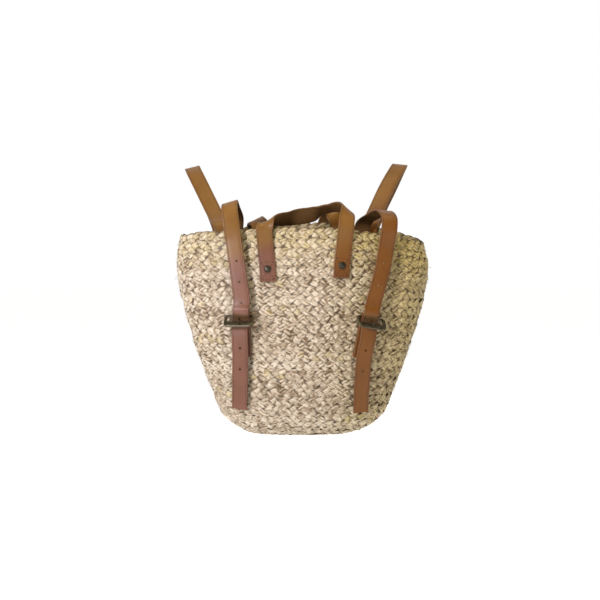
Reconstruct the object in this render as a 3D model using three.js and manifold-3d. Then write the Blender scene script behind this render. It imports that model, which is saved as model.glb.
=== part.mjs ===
// A plaited straw basket worn as a backpack, with tan leather straps, buckles and handles.
// Millimetres, +Z up. The buckled face looks along -Y, and the back wall lies on the +Y side.
// Lengths are measured up from the flat base, and the whole bag is then hung from its origin,
// which lies midway between the tops of the two shoulder straps.

import * as THREE from 'three';
import { mergeVertices } from 'three/addons/utils/BufferGeometryUtils.js';
import Module from 'manifold-3d';

const wasm = await Module();
wasm.setup();

// Driving dimensions of the basket
const RIM_HEIGHT = 283;
const BACK_RIM_RISE = 5;
const BACK_RIM_TILT = 8;
const RIM_DROP = { left: 9, right: 27.5 };
const RIM_DROP_POWER = 2.1;
const SECTION_POWER = 2.3;
const WALL = 5;
const BRAID_ROWS = 25;
const GROOVE = 1.3;
const AROUND = 34;
const INNER_ROWS = 3;
const BASE = { halfWidth: 50, front: 18, back: 14 };
const CORNER = { rise: 62, halfWidth: 72, front: 44, back: 36 };
const WALL_LEVELS = [
  { z: 47.5, halfWidth: 120, front: 60.8, back: 49 },
  { z: 95, halfWidth: 138, front: 65, back: 50 },
  { z: 150, halfWidth: 155.5, front: 66, back: 48 },
  { z: 198, halfWidth: 167.5, front: 64, back: 47 },
  { z: 243, halfWidth: 173.5, front: 60, back: 46 },
  { z: RIM_HEIGHT, halfWidth: 168.5, front: 55, back: 45 },
];

// Driving dimensions of the leather and the metal
const STRAP_WIDTH = 22;
const STRAP_THICK = 2.6;
const TAB_WIDTH = 20;
const TAB_THICK = 2;
const HOLE_RADIUS = 1.6;
const GAP = 0.3;
const INSIDE_GAP = 0.8;
const RIVET = { cap: 5, capRim: 0.6, dome: 2, shank: 2, backCap: 4.5, backThick: 1.2, slack: 0.6 };
const FRAME = { width: 41, frontBar: 9.5, sideBar: 4.5, heelBar: 2.7, gap: 9.8, thick: 3.4, corner: 5 };
const PRONG_RADIUS = 1.1;
const PRONG_START = 100;
const SLOT_START = 110;
const PRONG_CLEARANCE = 0.6;
const PRONG_SIDES = 5;
const RIVET_SIDES = 8;
const PUNCH_SIDES = 7;
const PUNCH_DEPTH = 4;
const STRAP_STEPS = 3;
const SMALL_STEPS = 2;

// The buckle's frame hangs out and down from its heel bar, with the broad front bar over the strap.
// Heights are measured from the front bar, and distances out from the wall.
const FRAME_REACH = FRAME.frontBar / 2 + FRAME.gap + FRAME.heelBar / 2;
const HEEL_RISE = 9.5;
const HEEL_OUT = 5.2;
const FRAME_OUT = Math.sqrt(FRAME_REACH ** 2 - HEEL_RISE ** 2);
const HEEL_WRAP = 2.5;
const TAB_END = -46;
const TAB_RIVET_DROP = 36;

// Origin: midway between the tops of the shoulder straps
const ORIGIN = new THREE.Vector3(0, 130, 370);

const LEATHER = { color: 0x8a4f2a, roughness: 0.55, metalness: 0 };
const STRAW = { color: 0xc8ac82, roughness: 0.75, metalness: 0 };
const OLD_BRASS = { color: 0x5c5340, roughness: 0.4, metalness: 1 };

// Stretches of the straps, in the order in which each strap runs.
// x and z on a wall with a standoff, or x, y and z in the open with a sideways tilt in degrees.
const SIDES = {
  left: {
    anchor: { x: -98, z: 238 },
    frontInside: [{ x: -99, z: 222 }, { x: -96.5, z: 248, off: 6 }, { x: -93, z: 272, off: 10 }],
    frontArch: [
      { x: -91.5, y: 17, z: 295, tilt: 0 },
      { x: -97, y: -12, z: 309.5, tilt: 10 },
      { x: -101, y: -37, z: 318, tilt: 17 },
      { x: -102, y: -51, z: 311, tilt: 13 },
      { x: -100, y: -58.5, z: 291, tilt: 5 },
    ],
    frontWall: [
      { x: -97, z: 268, off: 11 },
      { x: -93.1, z: 240.5, off: 11 },
      { x: -89.2, z: 212.5, off: 12 },
      { x: -86.6, z: 185, off: 13.4 },
    ],
    buckle: { x: -86.2, z: 158.5, lean: 0, tabShift: 3.6 },
    tail: [{ x: -88.4, z: 98, off: 8 }, { x: -88.7, z: 69, off: 6 }, { x: -89, z: 41, off: 5 }],
    holes: [240.7, 212.8, 184.9, 124.8, 96.5],
    shoulderInside: [{ x: -97, z: 222 }, { x: -101, z: 248 }, { x: -106, z: 268, off: 4.4 }],
    shoulderLoop: [
      { x: -111.5, y: 32, z: 287.5, tilt: 5 },
      { x: -116.5, y: 46, z: 297, tilt: 9 },
      { x: -123, y: 62, z: 309.5, tilt: 14 },
      { x: -137, y: 93, z: 339, tilt: 14 },
      { x: -147.5, y: 118, z: 361, tilt: 14 },
      { x: -150.5, y: 136, z: 368, tilt: 14 },
      { x: -147.5, y: 158, z: 361.5, tilt: 14 },
      { x: -136, y: 184, z: 339, tilt: 14 },
      { x: -119, y: 197, z: 304, tilt: 13 },
      { x: -107, y: 197, z: 268, tilt: 12 },
      { x: -99, y: 182, z: 212, tilt: 11 },
      { x: -92, y: 146, z: 158, tilt: 9 },
      { x: -87, y: 95, z: 121, tilt: 5 },
    ],
    foot: [{ x: -84, z: 97, off: 4.5 }, { x: -83, z: 80, off: 1.9 }, { x: -82, z: 56 }],
    footRivet: { x: -82.6, z: 70 },
  },
  right: {
    anchor: { x: 85, z: 238 },
    frontInside: [{ x: 85.5, z: 222 }, { x: 84.5, z: 248, off: 6 }, { x: 83, z: 272, off: 10 }],
    frontArch: [
      { x: 85.5, y: 18, z: 289, tilt: 0 },
      { x: 95, y: -10, z: 299.5, tilt: -4 },
      { x: 107, y: -36, z: 306.5, tilt: -6 },
      { x: 112.5, y: -52, z: 298.5, tilt: -9 },
      { x: 112, y: -58, z: 283, tilt: -10 },
    ],
    frontWall: [
      { x: 108, z: 260, off: 11 },
      { x: 103.6, z: 235, off: 11 },
      { x: 96.3, z: 207.6, off: 12 },
      { x: 88.6, z: 181, off: 13.4 },
    ],
    buckle: { x: 82.4, z: 155, lean: -9, tabShift: -3.6 },
    tail: [{ x: 76, z: 96, off: 8 }, { x: 74.8, z: 65, off: 6 }, { x: 74.4, z: 35.5, off: 5 }],
    holes: [237.5, 207.6, 180.6, 120.8, 92.7],
    shoulderInside: [{ x: 84, z: 222 }, { x: 88, z: 248 }, { x: 93, z: 269, off: 4.6 }],
    shoulderLoop: [
      { x: 96.5, y: 34, z: 290, tilt: -3 },
      { x: 102, y: 48, z: 298, tilt: -4 },
      { x: 108.5, y: 62, z: 308, tilt: -5 },
      { x: 127, y: 93, z: 339.5, tilt: -5 },
      { x: 144, y: 118, z: 364, tilt: -5 },
      { x: 151.5, y: 134, z: 372.5, tilt: -5 },
      { x: 150.5, y: 155, z: 364.5, tilt: -7 },
      { x: 142.5, y: 183, z: 339.5, tilt: -9 },
      { x: 127, y: 197, z: 303.5, tilt: -11 },
      { x: 114, y: 197, z: 268, tilt: -11 },
      { x: 103, y: 182, z: 212, tilt: -11 },
      { x: 94, y: 146, z: 158, tilt: -9 },
      { x: 87, y: 95, z: 121, tilt: -5 },
    ],
    foot: [{ x: 84, z: 97, off: 4.5 }, { x: 83, z: 80, off: 1.9 }, { x: 82, z: 56 }],
    footRivet: { x: 82.6, z: 70 },
  },
};

// Handles: the legs lie on the wall, and the middle is folded over at both corners.
// across gives the direction of the strap's width at each station in the open.
const FRONT_HANDLE = {
  face: 'front',
  leftLeg: [{ x: -51.2, z: 213 }, { x: -51.6, z: 232 }, { x: -53.6, z: 252 }, { x: -55, z: 268, off: 2.6 }],
  middle: [
    { x: -55.5, y: -60.5, z: 285, across: [1, 0, 0.05] },
    { x: -46, y: -49, z: 296, across: [0.62, -0.6, 0.5] },
    { x: -28, y: -32, z: 296, across: [0.05, -0.6, 0.8] },
    { x: -5, y: -20, z: 299.5, across: [0, -0.12, 1] },
    { x: 11, y: -15.5, z: 302, across: [0, -0.3, 0.95] },
    { x: 24, y: -14, z: 307.5, across: [-0.03, -0.8, 0.6] },
    { x: 39, y: -16.5, z: 311, across: [-0.17, -0.85, 0.45] },
    { x: 56.5, y: -42, z: 309.5, across: [-0.73, -0.2, 0.64] },
    { x: 54.5, y: -57.5, z: 292, across: [-1, -0.1, 0.1] },
  ],
  rightLeg: [{ x: 52, z: 268, off: 2.6 }, { x: 50, z: 252 }, { x: 48, z: 236 }, { x: 47, z: 217.5 }],
  rivets: { left: { x: -51.5, z: 229.5 }, right: { x: 47.9, z: 234 } },
};
const BACK_HANDLE = {
  face: 'back',
  leftLeg: [{ x: -60, z: 216 }, { x: -60.5, z: 235 }, { x: -61.5, z: 255 }, { x: -63, z: 271, off: 2.6 }],
  middle: [
    { x: -64.5, y: 48.5, z: 285, across: [1, 0, 0.3] },
    { x: -63.5, y: 36, z: 293.5, across: [0.9, 0, 0.44] },
    { x: -57, y: 22, z: 288, across: [0.85, -0.35, 0.3] },
    { x: -42, y: 8, z: 272, across: [0.4, -0.9, 0] },
    { x: -12, y: 3, z: 263, across: [0, -1, 0] },
    { x: 18, y: 4, z: 266, across: [-0.1, -1, 0] },
    { x: 47, y: 21, z: 270, across: [-0.6, -0.8, 0] },
    { x: 50.5, y: 31, z: 284, across: [-0.88, -0.42, -0.15] },
    { x: 43, y: 39, z: 303.5, across: [-0.95, -0.2, -0.22] },
    { x: 35.5, y: 48.5, z: 290, across: [-1, -0.05, 0] },
  ],
  rightLeg: [{ x: 35.5, z: 273, off: 2.6 }, { x: 35.5, z: 256 }, { x: 36, z: 236 }, { x: 36.5, z: 216 }],
  rivets: { left: { x: -60.4, z: 231 }, right: { x: 36.1, z: 231 } },
};

// Signed power, which keeps the sign of a cosine or sine.
function signedPower(value, power) {
  return Math.sign(value) * Math.abs(value) ** power;
}

const levelTable = new THREE.CubicInterpolant(
  WALL_LEVELS.map((row) => row.z),
  WALL_LEVELS.flatMap((row) => [row.halfWidth, row.front, row.back]),
  3,
);

// Half width, front depth and back depth of the basket at a height above the base.
function sizesAt(level) {
  if (level < WALL_LEVELS[0].z) {
    const sine = 1 - Math.max(level, 0) / CORNER.rise;
    const reach = Math.sqrt(1 - sine * sine);
    return {
      halfWidth: BASE.halfWidth + CORNER.halfWidth * reach,
      front: BASE.front + CORNER.front * reach,
      back: BASE.back + CORNER.back * reach,
    };
  }
  const [halfWidth, front, back] = levelTable.evaluate(level);
  return { halfWidth, front, back };
}

// A point of the wall at a height and an angle, set in along the wall's normal.
// Angles run from the right side over the back; the rim droops towards both sides.
function wallPoint(level, angle, inset) {
  const size = sizesAt(level);
  const above = sizesAt(level + 1);
  const cosine = Math.cos(angle);
  const sine = Math.sin(angle);
  const depth = sine < 0 ? 'front' : 'back';
  const sideSlope = above.halfWidth - size.halfWidth;
  const depthSlope = above[depth] - size[depth];
  const halfWidth = size.halfWidth - inset / Math.hypot(1, sideSlope);
  const halfDepth = size[depth] - inset / Math.hypot(1, depthSlope);
  const x = halfWidth * signedPower(cosine, 2 / SECTION_POWER);
  const y = halfDepth * signedPower(sine, 2 / SECTION_POWER);
  const lean = (level / RIM_HEIGHT) ** 2;
  const drop = RIM_DROP[x < 0 ? 'left' : 'right'] * Math.abs(x / halfWidth) ** RIM_DROP_POWER;
  const rise = ((BACK_RIM_RISE + (BACK_RIM_TILT * x) / halfWidth) * (1 + sine)) / 2;
  const lift = (inset * sideSlope) / Math.hypot(1, sideSlope);
  return new THREE.Vector3(x, y, level + lift + lean * (rise - drop));
}

// The wall at x and z on the front or back, outside or inside, with its directions.
function wallFrame(face, side, x, z) {
  const inset = side === 'inside' ? WALL : 0;
  const step = 0.02;
  let level = z;
  let angle = 0;
  for (let pass = 0; pass < 12; pass += 1) {
    const reach = Math.min(1, Math.abs(x) / (sizesAt(level).halfWidth - inset));
    angle = Math.acos(Math.sign(x) * reach ** (SECTION_POWER / 2));
    angle *= face === 'front' ? -1 : 1;
    level += z - wallPoint(level, angle, inset).z;
  }
  const at = wallPoint(level, angle, inset);
  const around = wallPoint(level, angle + step, inset).sub(wallPoint(level, angle - step, inset));
  const upward = wallPoint(level + 1, angle, inset).sub(wallPoint(level - 1, angle, inset));
  const out = around.clone().cross(upward).normalize();
  const across = around.normalize();
  if (side === 'inside') out.negate();
  if (across.x < 0) across.negate();
  return { at, across, out };
}

// A place that stands off the wall and comes to lie at x and z itself.
function onWall(face, side, x, z, standoff) {
  let foot = wallFrame(face, side, x, z);
  for (let pass = 0; pass < 4; pass += 1) {
    const { out } = foot;
    foot = wallFrame(face, side, x - out.x * standoff, z - out.z * standoff);
  }
  foot.at.addScaledVector(foot.out, standoff);
  return foot;
}

// A closed body through rings of equal length, with a fan over each end.
function loft(rings) {
  const count = rings[0].length;
  const centre = (ring) => ring.reduce((sum, p) => sum.add(p), new THREE.Vector3()).divideScalar(count);
  const points = [...rings.flat(), centre(rings[0]), centre(rings.at(-1))];
  const first = rings.length * count;
  const last = (rings.length - 1) * count;
  const index = [];
  for (let j = 0; j < count; j += 1) {
    const next = (j + 1) % count;
    for (let i = 0; i < last; i += count) {
      index.push(i + j, i + next, i + count + next, i + j, i + count + next, i + count + j);
    }
    index.push(first, next, j, first + 1, last + j, last + next);
  }
  const geometry = new THREE.BufferGeometry().setFromPoints(points);
  geometry.setIndex(index);
  return geometry;
}

// Frames along a strap: smooth centre line through the stations, width turned between them.
function strapFrames(stations, steps) {
  const curve = new THREE.CatmullRomCurve3(stations.map((s) => s.at), false, 'centripetal');
  const spans = stations.length - 1;
  const frames = [];
  for (let i = 0; i <= spans * steps; i += 1) {
    const t = i / (spans * steps);
    const span = Math.min(Math.floor(i / steps), spans - 1);
    const blend = THREE.MathUtils.smoothstep(i / steps - span, 0, 1);
    const along = curve.getTangent(t);
    const across = stations[span].across.clone().lerp(stations[span + 1].across, blend);
    across.addScaledVector(along, -across.dot(along)).normalize();
    const out = along.clone().cross(across);
    frames.push({ at: curve.getPoint(t), along, across, out });
  }
  return frames;
}

// A flat leather strap: a rectangle carried along the frames.
function strapGeometry(frames, width, thick) {
  const corners = [[1, 1], [-1, 1], [-1, -1], [1, -1]];
  const corner = (frame, [across, out]) => frame.at.clone()
    .addScaledVector(frame.across, (across * width) / 2)
    .addScaledVector(frame.out, (out * thick) / 2);
  return loft(frames.map((frame) => corners.map((pair) => corner(frame, pair))));
}

// A round wire along a path in the plane x = 0, as for a buckle's prong.
function wireGeometry(path, radius) {
  const stations = path.map(([y, z]) => ({
    at: new THREE.Vector3(0, y, z),
    across: new THREE.Vector3(1, 0, 0),
  }));
  const spoke = (frame, j) => {
    const angle = (j / PRONG_SIDES) * 2 * Math.PI;
    return frame.at.clone()
      .addScaledVector(frame.across, radius * Math.cos(angle))
      .addScaledVector(frame.out, radius * Math.sin(angle));
  };
  const ring = (frame) => Array.from({ length: PRONG_SIDES }, (_, j) => spoke(frame, j));
  return loft(strapFrames(stations, SMALL_STEPS).map(ring));
}

// Boolean cuts on closed meshes.
function toSolid(geometry) {
  const bare = geometry.clone();
  bare.deleteAttribute('normal');
  bare.deleteAttribute('uv');
  const merged = mergeVertices(bare, 1e-4);
  const vertProperties = new Float32Array(merged.attributes.position.array);
  const triVerts = new Uint32Array(merged.index.array);
  return new wasm.Manifold(new wasm.Mesh({ numProp: 3, vertProperties, triVerts }));
}

function cut(geometry, cutters) {
  const solid = cutters.reduce((left, cutter) => left.subtract(toSolid(cutter)), toSolid(geometry));
  const mesh = solid.getMesh();
  const result = new THREE.BufferGeometry();
  result.setAttribute('position', new THREE.BufferAttribute(mesh.vertProperties, 3));
  result.setIndex(new THREE.BufferAttribute(mesh.triVerts, 1));
  return result;
}

// A group whose x runs across, y up along the wall and z out of it.
function groupOnWall(place, lean = 0) {
  const group = new THREE.Group();
  const up = place.out.clone().cross(place.across);
  const basis = new THREE.Matrix4().makeBasis(place.across, up, place.out);
  group.position.copy(place.at);
  group.quaternion.setFromRotationMatrix(basis);
  group.rotateZ(THREE.MathUtils.degToRad(lean));
  group.updateMatrix();
  return group;
}

// A punch for a hole along a group's z axis, in the bag's own frame.
function punch(group, radius, from, to) {
  const geometry = new THREE.CylinderGeometry(radius, radius, to - from, PUNCH_SIDES);
  geometry.rotateX(Math.PI / 2);
  geometry.translate(0, 0, (from + to) / 2);
  return geometry.applyMatrix4(group.matrix);
}

// A domed rivet whose shank runs through the wall, with a flat cap behind.
function rivetGeometry(outerSeat, innerSeat) {
  const top = outerSeat + RIVET.dome;
  const profile = [
    [0, innerSeat - RIVET.backThick],
    [RIVET.backCap, innerSeat - RIVET.backThick],
    [RIVET.backCap, innerSeat],
    [RIVET.shank, innerSeat],
    [RIVET.shank, outerSeat],
    [RIVET.cap, outerSeat],
    [RIVET.cap, outerSeat + RIVET.capRim],
    [RIVET.cap * 0.7, outerSeat + RIVET.dome * 0.8],
    [0, top],
  ];
  const geometry = new THREE.LatheGeometry(profile.map(([r, h]) => new THREE.Vector2(r, h)), RIVET_SIDES);
  return geometry.rotateX(Math.PI / 2);
}

const bag = new THREE.Group();
bag.position.copy(ORIGIN).negate();

function addPiece(parent, name, geometry, finish) {
  const mesh = new THREE.Mesh(geometry, new THREE.MeshStandardMaterial(finish));
  mesh.name = name;
  parent.add(mesh);
}

// A rivet in the wall; the punch that clears its shank is kept for what it passes through.
const shankPunches = [];
function addRivet(name, face, spot, outerStack, innerStack) {
  const group = groupOnWall(onWall(face, 'outside', spot.x, spot.z, 0));
  const outerSeat = outerStack + RIVET.slack;
  const innerSeat = -WALL - innerStack - RIVET.slack;
  addPiece(group, name, rivetGeometry(outerSeat, innerSeat), OLD_BRASS);
  bag.add(group);
  const hole = punch(group, RIVET.shank + GAP, innerSeat - 1, outerSeat + 1);
  shankPunches.push(hole);
  return hole;
}

// Stations on a wall, at the strap's own standoff unless a row gives one.
function wallStations(rows, face, side, standoff) {
  return rows.map((row) => onWall(face, side, row.x, row.z, row.off ?? standoff));
}

function tiltedStations(rows) {
  return rows.map(({ x, y, z, tilt }) => {
    const angle = THREE.MathUtils.degToRad(tilt);
    return {
      at: new THREE.Vector3(x, y, z),
      across: new THREE.Vector3(Math.cos(angle), 0, Math.sin(angle)),
    };
  });
}

// Handles
const FLAT_OFF = GAP + STRAP_THICK / 2;
const LEG_STACK = GAP + STRAP_THICK;

function addHandle(name, handle) {
  const { face, leftLeg, middle, rightLeg, rivets } = handle;
  const flipped = wallStations(rightLeg, face, 'outside', FLAT_OFF);
  flipped.forEach((station) => station.across.negate());
  const stations = [
    ...wallStations(leftLeg, face, 'outside', FLAT_OFF),
    ...middle.map(({ x, y, z, across }) => ({
      at: new THREE.Vector3(x, y, z),
      across: new THREE.Vector3(...across).normalize(),
    })),
    ...flipped,
  ];
  const holes = Object.keys(rivets).map((side) => (
    addRivet(`${name}_rivet_${side}`, face, rivets[side], LEG_STACK, 0)
  ));
  const strap = strapGeometry(strapFrames(stations, STRAP_STEPS), STRAP_WIDTH, STRAP_THICK);
  addPiece(bag, name, cut(strap, holes), LEATHER);
}

addHandle('front_handle', FRONT_HANDLE);
addHandle('back_handle', BACK_HANDLE);

// Buckles: a flat frame with a broad front bar, a prong on the heel bar and a folded tab.
function frameGeometry() {
  const { width, frontBar, sideBar, heelBar, gap, thick, corner } = FRAME;
  const rounded = (path, left, bottom, right, top, radius) => {
    path.moveTo(left + radius, bottom);
    path.lineTo(right - radius, bottom);
    path.absarc(right - radius, bottom + radius, radius, -Math.PI / 2, 0);
    path.lineTo(right, top - radius);
    path.absarc(right - radius, top - radius, radius, 0, Math.PI / 2);
    path.lineTo(left + radius, top);
    path.absarc(left + radius, top - radius, radius, Math.PI / 2, Math.PI);
    path.lineTo(left, bottom + radius);
    path.absarc(left + radius, bottom + radius, radius, Math.PI, 1.5 * Math.PI);
    return path;
  };
  const half = width / 2;
  const inner = half - sideBar;
  const top = FRAME_REACH + frontBar / 2;
  const outline = rounded(new THREE.Shape(), -half, -heelBar / 2, half, top, corner);
  const heelTop = heelBar / 2;
  outline.holes.push(rounded(new THREE.Path(), -inner, heelTop, inner, heelTop + gap, 2));
  const options = { depth: thick, bevelEnabled: false, curveSegments: 3 };
  const geometry = new THREE.ExtrudeGeometry(outline, options);
  return geometry.translate(0, 0, -thick / 2);
}

// A place beside the frame's plane: along it from the heel bar to the front bar, and off it.
function besideFrame([along, off]) {
  return [
    HEEL_RISE + (FRAME_OUT * off - HEEL_RISE * along) / FRAME_REACH,
    HEEL_OUT + (FRAME_OUT * along + HEEL_RISE * off) / FRAME_REACH,
  ];
}

// The prong curls round the heel bar, from a start in degrees, and goes through the strap to the front bar.
function prongPath(start) {
  const radius = HEEL_WRAP + PRONG_RADIUS;
  const curl = [start, 45, -10, -65, -120].map((degrees) => {
    const angle = THREE.MathUtils.degToRad(degrees);
    return [-radius * Math.cos(angle), radius * Math.sin(angle)];
  });
  const seat = FRAME.thick / 2 + GAP + PRONG_RADIUS;
  const rise = [[4.6, -1.6], [7.2, 0.3], [8.8, 2.4], [11.2, seat + 0.1], [18.5, seat + 0.5]];
  return [...curl, ...rise].map(besideFrame);
}

// The tab goes up the wall, round the heel bar and back down over itself.
function tabStations(shift) {
  const radius = HEEL_WRAP + TAB_THICK / 2;
  const lowLayer = GAP + TAB_THICK / 2;
  const topLayer = lowLayer + TAB_THICK + GAP;
  const turn = [-90, -45, 0, 45, 90].map((degrees) => {
    const angle = THREE.MathUtils.degToRad(degrees);
    return [HEEL_RISE + radius * Math.cos(angle), HEEL_OUT + radius * Math.sin(angle)];
  });
  const back = [[TAB_END, lowLayer], [TAB_END + 15, lowLayer], [HEEL_RISE - 9, lowLayer + 0.1]];
  const front = [
    [HEEL_RISE - 9, topLayer + 1.8],
    [HEEL_RISE - 20, topLayer + 0.2],
    [TAB_END + 15, topLayer],
    [TAB_END, topLayer],
  ];
  return [...back, ...turn, ...front].map(([y, z]) => ({
    at: new THREE.Vector3(shift, y, z),
    across: new THREE.Vector3(1, 0, 0),
  }));
}

// Places of the strap as it folds over the heel bar, dips behind the front bar and comes out below.
// Above the front bar it runs nearly in line with the tab: beside is a share of the tab's shift.
const THROUGH_BUCKLE = [
  { up: 19, out: 14.1, beside: 0.8 },
  { up: 14.5, out: 14.2, beside: 0.8 },
  { up: 11, out: 13.6, beside: 0.7 },
  { up: 7, out: 11.1, beside: 0.5 },
  { up: 2, out: 9.4, beside: 0.2 },
  { up: -7, out: 9, beside: 0 },
  { up: -20, out: 10.2, beside: 0 },
  { up: -41, out: 9.8, beside: 0 },
];

function addBuckle(side) {
  const { x, z, lean, tabShift } = SIDES[side].buckle;
  const angle = THREE.MathUtils.degToRad(lean);
  const rivetSpot = {
    x: x + tabShift * Math.cos(angle) + TAB_RIVET_DROP * Math.sin(angle),
    z: z + tabShift * Math.sin(angle) - TAB_RIVET_DROP * Math.cos(angle),
  };
  const group = groupOnWall(onWall('front', 'outside', rivetSpot.x, rivetSpot.z, 0), lean);
  group.translateX(-tabShift);
  group.translateY(TAB_RIVET_DROP);
  group.updateMatrix();
  const tilt = new THREE.Group();
  tilt.position.set(0, HEEL_RISE, HEEL_OUT);
  tilt.rotation.x = Math.atan2(FRAME_OUT, -HEEL_RISE);
  addPiece(tilt, `buckle_frame_${side}`, frameGeometry(), OLD_BRASS);
  group.add(tilt);
  addPiece(group, `buckle_prong_${side}`, wireGeometry(prongPath(PRONG_START), PRONG_RADIUS), OLD_BRASS);
  const clearance = wireGeometry(prongPath(SLOT_START), PRONG_RADIUS + PRONG_CLEARANCE);
  const tab = strapGeometry(strapFrames(tabStations(tabShift), SMALL_STEPS), TAB_WIDTH, TAB_THICK);
  const tabStack = 2 * (GAP + TAB_THICK);
  const hole = addRivet(`buckle_tab_rivet_${side}`, 'front', rivetSpot, tabStack, 0);
  const holeHere = hole.clone().applyMatrix4(group.matrix.clone().invert());
  addPiece(group, `buckle_tab_${side}`, cut(tab, [clearance, holeHere]), LEATHER);
  bag.add(group);
  return { group, clearance: clearance.clone().applyMatrix4(group.matrix) };
}

// Straps that run from the inside of the back wall.
const SHOULDER_OFF = INSIDE_GAP + STRAP_THICK / 2;
const FRONT_STRAP_OFF = SHOULDER_OFF + STRAP_THICK + RIVET.slack;

function addFrontStrap(side, buckle, anchorHole) {
  const route = SIDES[side];
  const across = new THREE.Vector3().setFromMatrixColumn(buckle.group.matrix, 0);
  const through = THROUGH_BUCKLE.map(({ up, out, beside }) => ({
    at: new THREE.Vector3(beside * route.buckle.tabShift, up, out).applyMatrix4(buckle.group.matrix),
    across,
  }));
  const stations = [
    ...wallStations(route.frontInside, 'back', 'inside', FRONT_STRAP_OFF),
    ...tiltedStations(route.frontArch),
    ...wallStations(route.frontWall, 'front', 'outside', 0),
    ...through,
    ...wallStations(route.tail, 'front', 'outside', 0),
  ];
  const frames = strapFrames(stations, STRAP_STEPS);
  const inFront = frames.filter((frame) => frame.at.y < -30);
  const holes = route.holes.map((z) => {
    const nearest = (best, frame) => (
      Math.abs(frame.at.z - z) < Math.abs(best.at.z - z) ? frame : best
    );
    const { at, across: wide, along, out } = inFront.reduce(nearest);
    const centre = at.clone().addScaledVector(along, (z - at.z) / along.z);
    return punch(groupOnWall({ at: centre, across: wide, out }), HOLE_RADIUS, -PUNCH_DEPTH, PUNCH_DEPTH);
  });
  const strap = strapGeometry(frames, STRAP_WIDTH, STRAP_THICK);
  const cutters = [anchorHole, buckle.clearance, ...holes];
  addPiece(bag, `front_strap_${side}`, cut(strap, cutters), LEATHER);
}

function addShoulderStrap(side, anchorHole, footHole) {
  const route = SIDES[side];
  const stations = [
    ...wallStations(route.shoulderInside, 'back', 'inside', SHOULDER_OFF),
    ...tiltedStations(route.shoulderLoop),
    ...wallStations(route.foot, 'back', 'outside', FLAT_OFF),
  ];
  const strap = strapGeometry(strapFrames(stations, STRAP_STEPS), STRAP_WIDTH, STRAP_THICK);
  addPiece(bag, `shoulder_strap_${side}`, cut(strap, [anchorHole, footHole]), LEATHER);
}

for (const side of Object.keys(SIDES)) {
  const { anchor, footRivet } = SIDES[side];
  const innerStack = FRONT_STRAP_OFF + STRAP_THICK / 2;
  const anchorHole = addRivet(`strap_top_rivet_${side}`, 'back', anchor, 0, innerStack);
  const footHole = addRivet(`strap_foot_rivet_${side}`, 'back', footRivet, LEG_STACK, 0);
  addFrontStrap(side, addBuckle(side), anchorHole);
  addShoulderStrap(side, anchorHole, footHole);
}

// Basket: rows of braid as ribs outside, a plain wall inside, a flat base and an open mouth.
function ringAt(level, inset) {
  return Array.from({ length: AROUND }, (_, j) => wallPoint(level, (j / AROUND) * 2 * Math.PI, inset));
}

// Heights that cut the wall's profile into rows of equal height along its slope.
function rowHeights(count) {
  const samples = 600;
  const heights = [0];
  const travelled = [0];
  for (let i = 1; i <= samples; i += 1) {
    const height = RIM_HEIGHT * (i / samples) ** 2;
    const reach = (z) => (sizesAt(z).halfWidth + sizesAt(z).front) / 2;
    const step = Math.hypot(height - heights[i - 1], reach(height) - reach(heights[i - 1]));
    heights.push(height);
    travelled.push(travelled[i - 1] + step);
  }
  const rows = Array.from({ length: count + 1 }, (_, k) => (travelled.at(-1) * k) / count);
  return rows.map((distance) => heights[travelled.findIndex((t) => t >= distance - 1e-9)]);
}

function basketGeometry() {
  const edges = rowHeights(BRAID_ROWS);
  const rings = [ringAt(0, 0)];
  for (let row = 0; row < BRAID_ROWS; row += 1) {
    if (row > 0) rings.push(ringAt(edges[row], GROOVE));
    rings.push(ringAt((edges[row] + edges[row + 1]) / 2, 0));
  }
  rings.push(ringAt(RIM_HEIGHT, WALL / 2));
  for (let row = BRAID_ROWS; row > 0; row -= INNER_ROWS) {
    rings.push(ringAt((edges[row] + edges[row - 1]) / 2, WALL));
  }
  return loft(rings);
}

addPiece(bag, 'basket', cut(basketGeometry(), shankPunches), STRAW);

const basketBackpack = new THREE.Group();
basketBackpack.add(bag);

export default basketBackpack;
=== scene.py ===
# %% [markdown]
# # A plaited straw basket backpack
# A soft open basket, sewn from flat plaits of dry husk, with tan leather straps, two handles and
# dark brass fittings. The packed solids give the frame, in metres. Every piece is worked out in
# millimetres above the basket's base, as a maker would measure it, then moved into the frame.

# %% The frame
import math

import bpy
import numpy as np
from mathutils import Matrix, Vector


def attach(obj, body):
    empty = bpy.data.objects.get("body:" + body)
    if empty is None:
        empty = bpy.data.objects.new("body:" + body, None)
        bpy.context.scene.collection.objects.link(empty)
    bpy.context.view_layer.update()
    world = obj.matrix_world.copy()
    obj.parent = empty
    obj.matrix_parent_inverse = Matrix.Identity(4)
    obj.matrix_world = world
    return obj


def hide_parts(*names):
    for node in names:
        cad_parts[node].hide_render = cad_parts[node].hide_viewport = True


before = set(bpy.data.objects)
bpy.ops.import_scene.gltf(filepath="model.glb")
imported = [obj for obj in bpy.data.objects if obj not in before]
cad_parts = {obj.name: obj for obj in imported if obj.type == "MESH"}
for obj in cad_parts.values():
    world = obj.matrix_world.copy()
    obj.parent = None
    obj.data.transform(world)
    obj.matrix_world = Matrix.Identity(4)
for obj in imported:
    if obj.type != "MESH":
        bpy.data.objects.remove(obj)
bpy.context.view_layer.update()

ORIGIN = np.array([0.0, 130.0, 370.0])

# %% [markdown]
# ## From arrays to meshes
# A surface is a grid: rows run along a path, columns run round a profile. One helper turns a grid
# into quads, another joins several grids into one mesh. Writing whole arrays with `foreach_set`
# is far quicker than adding faces one by one, and it keeps the shape's formula in one place.


# %% Sums on lines and circles
def unit(v):
    """Each vector divided by its length."""
    return v / np.linalg.norm(v, axis=-1, keepdims=True)


def turns(count):
    """Equal steps round a circle, in radians."""
    return np.arange(count) * 2 * np.pi / count


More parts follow.
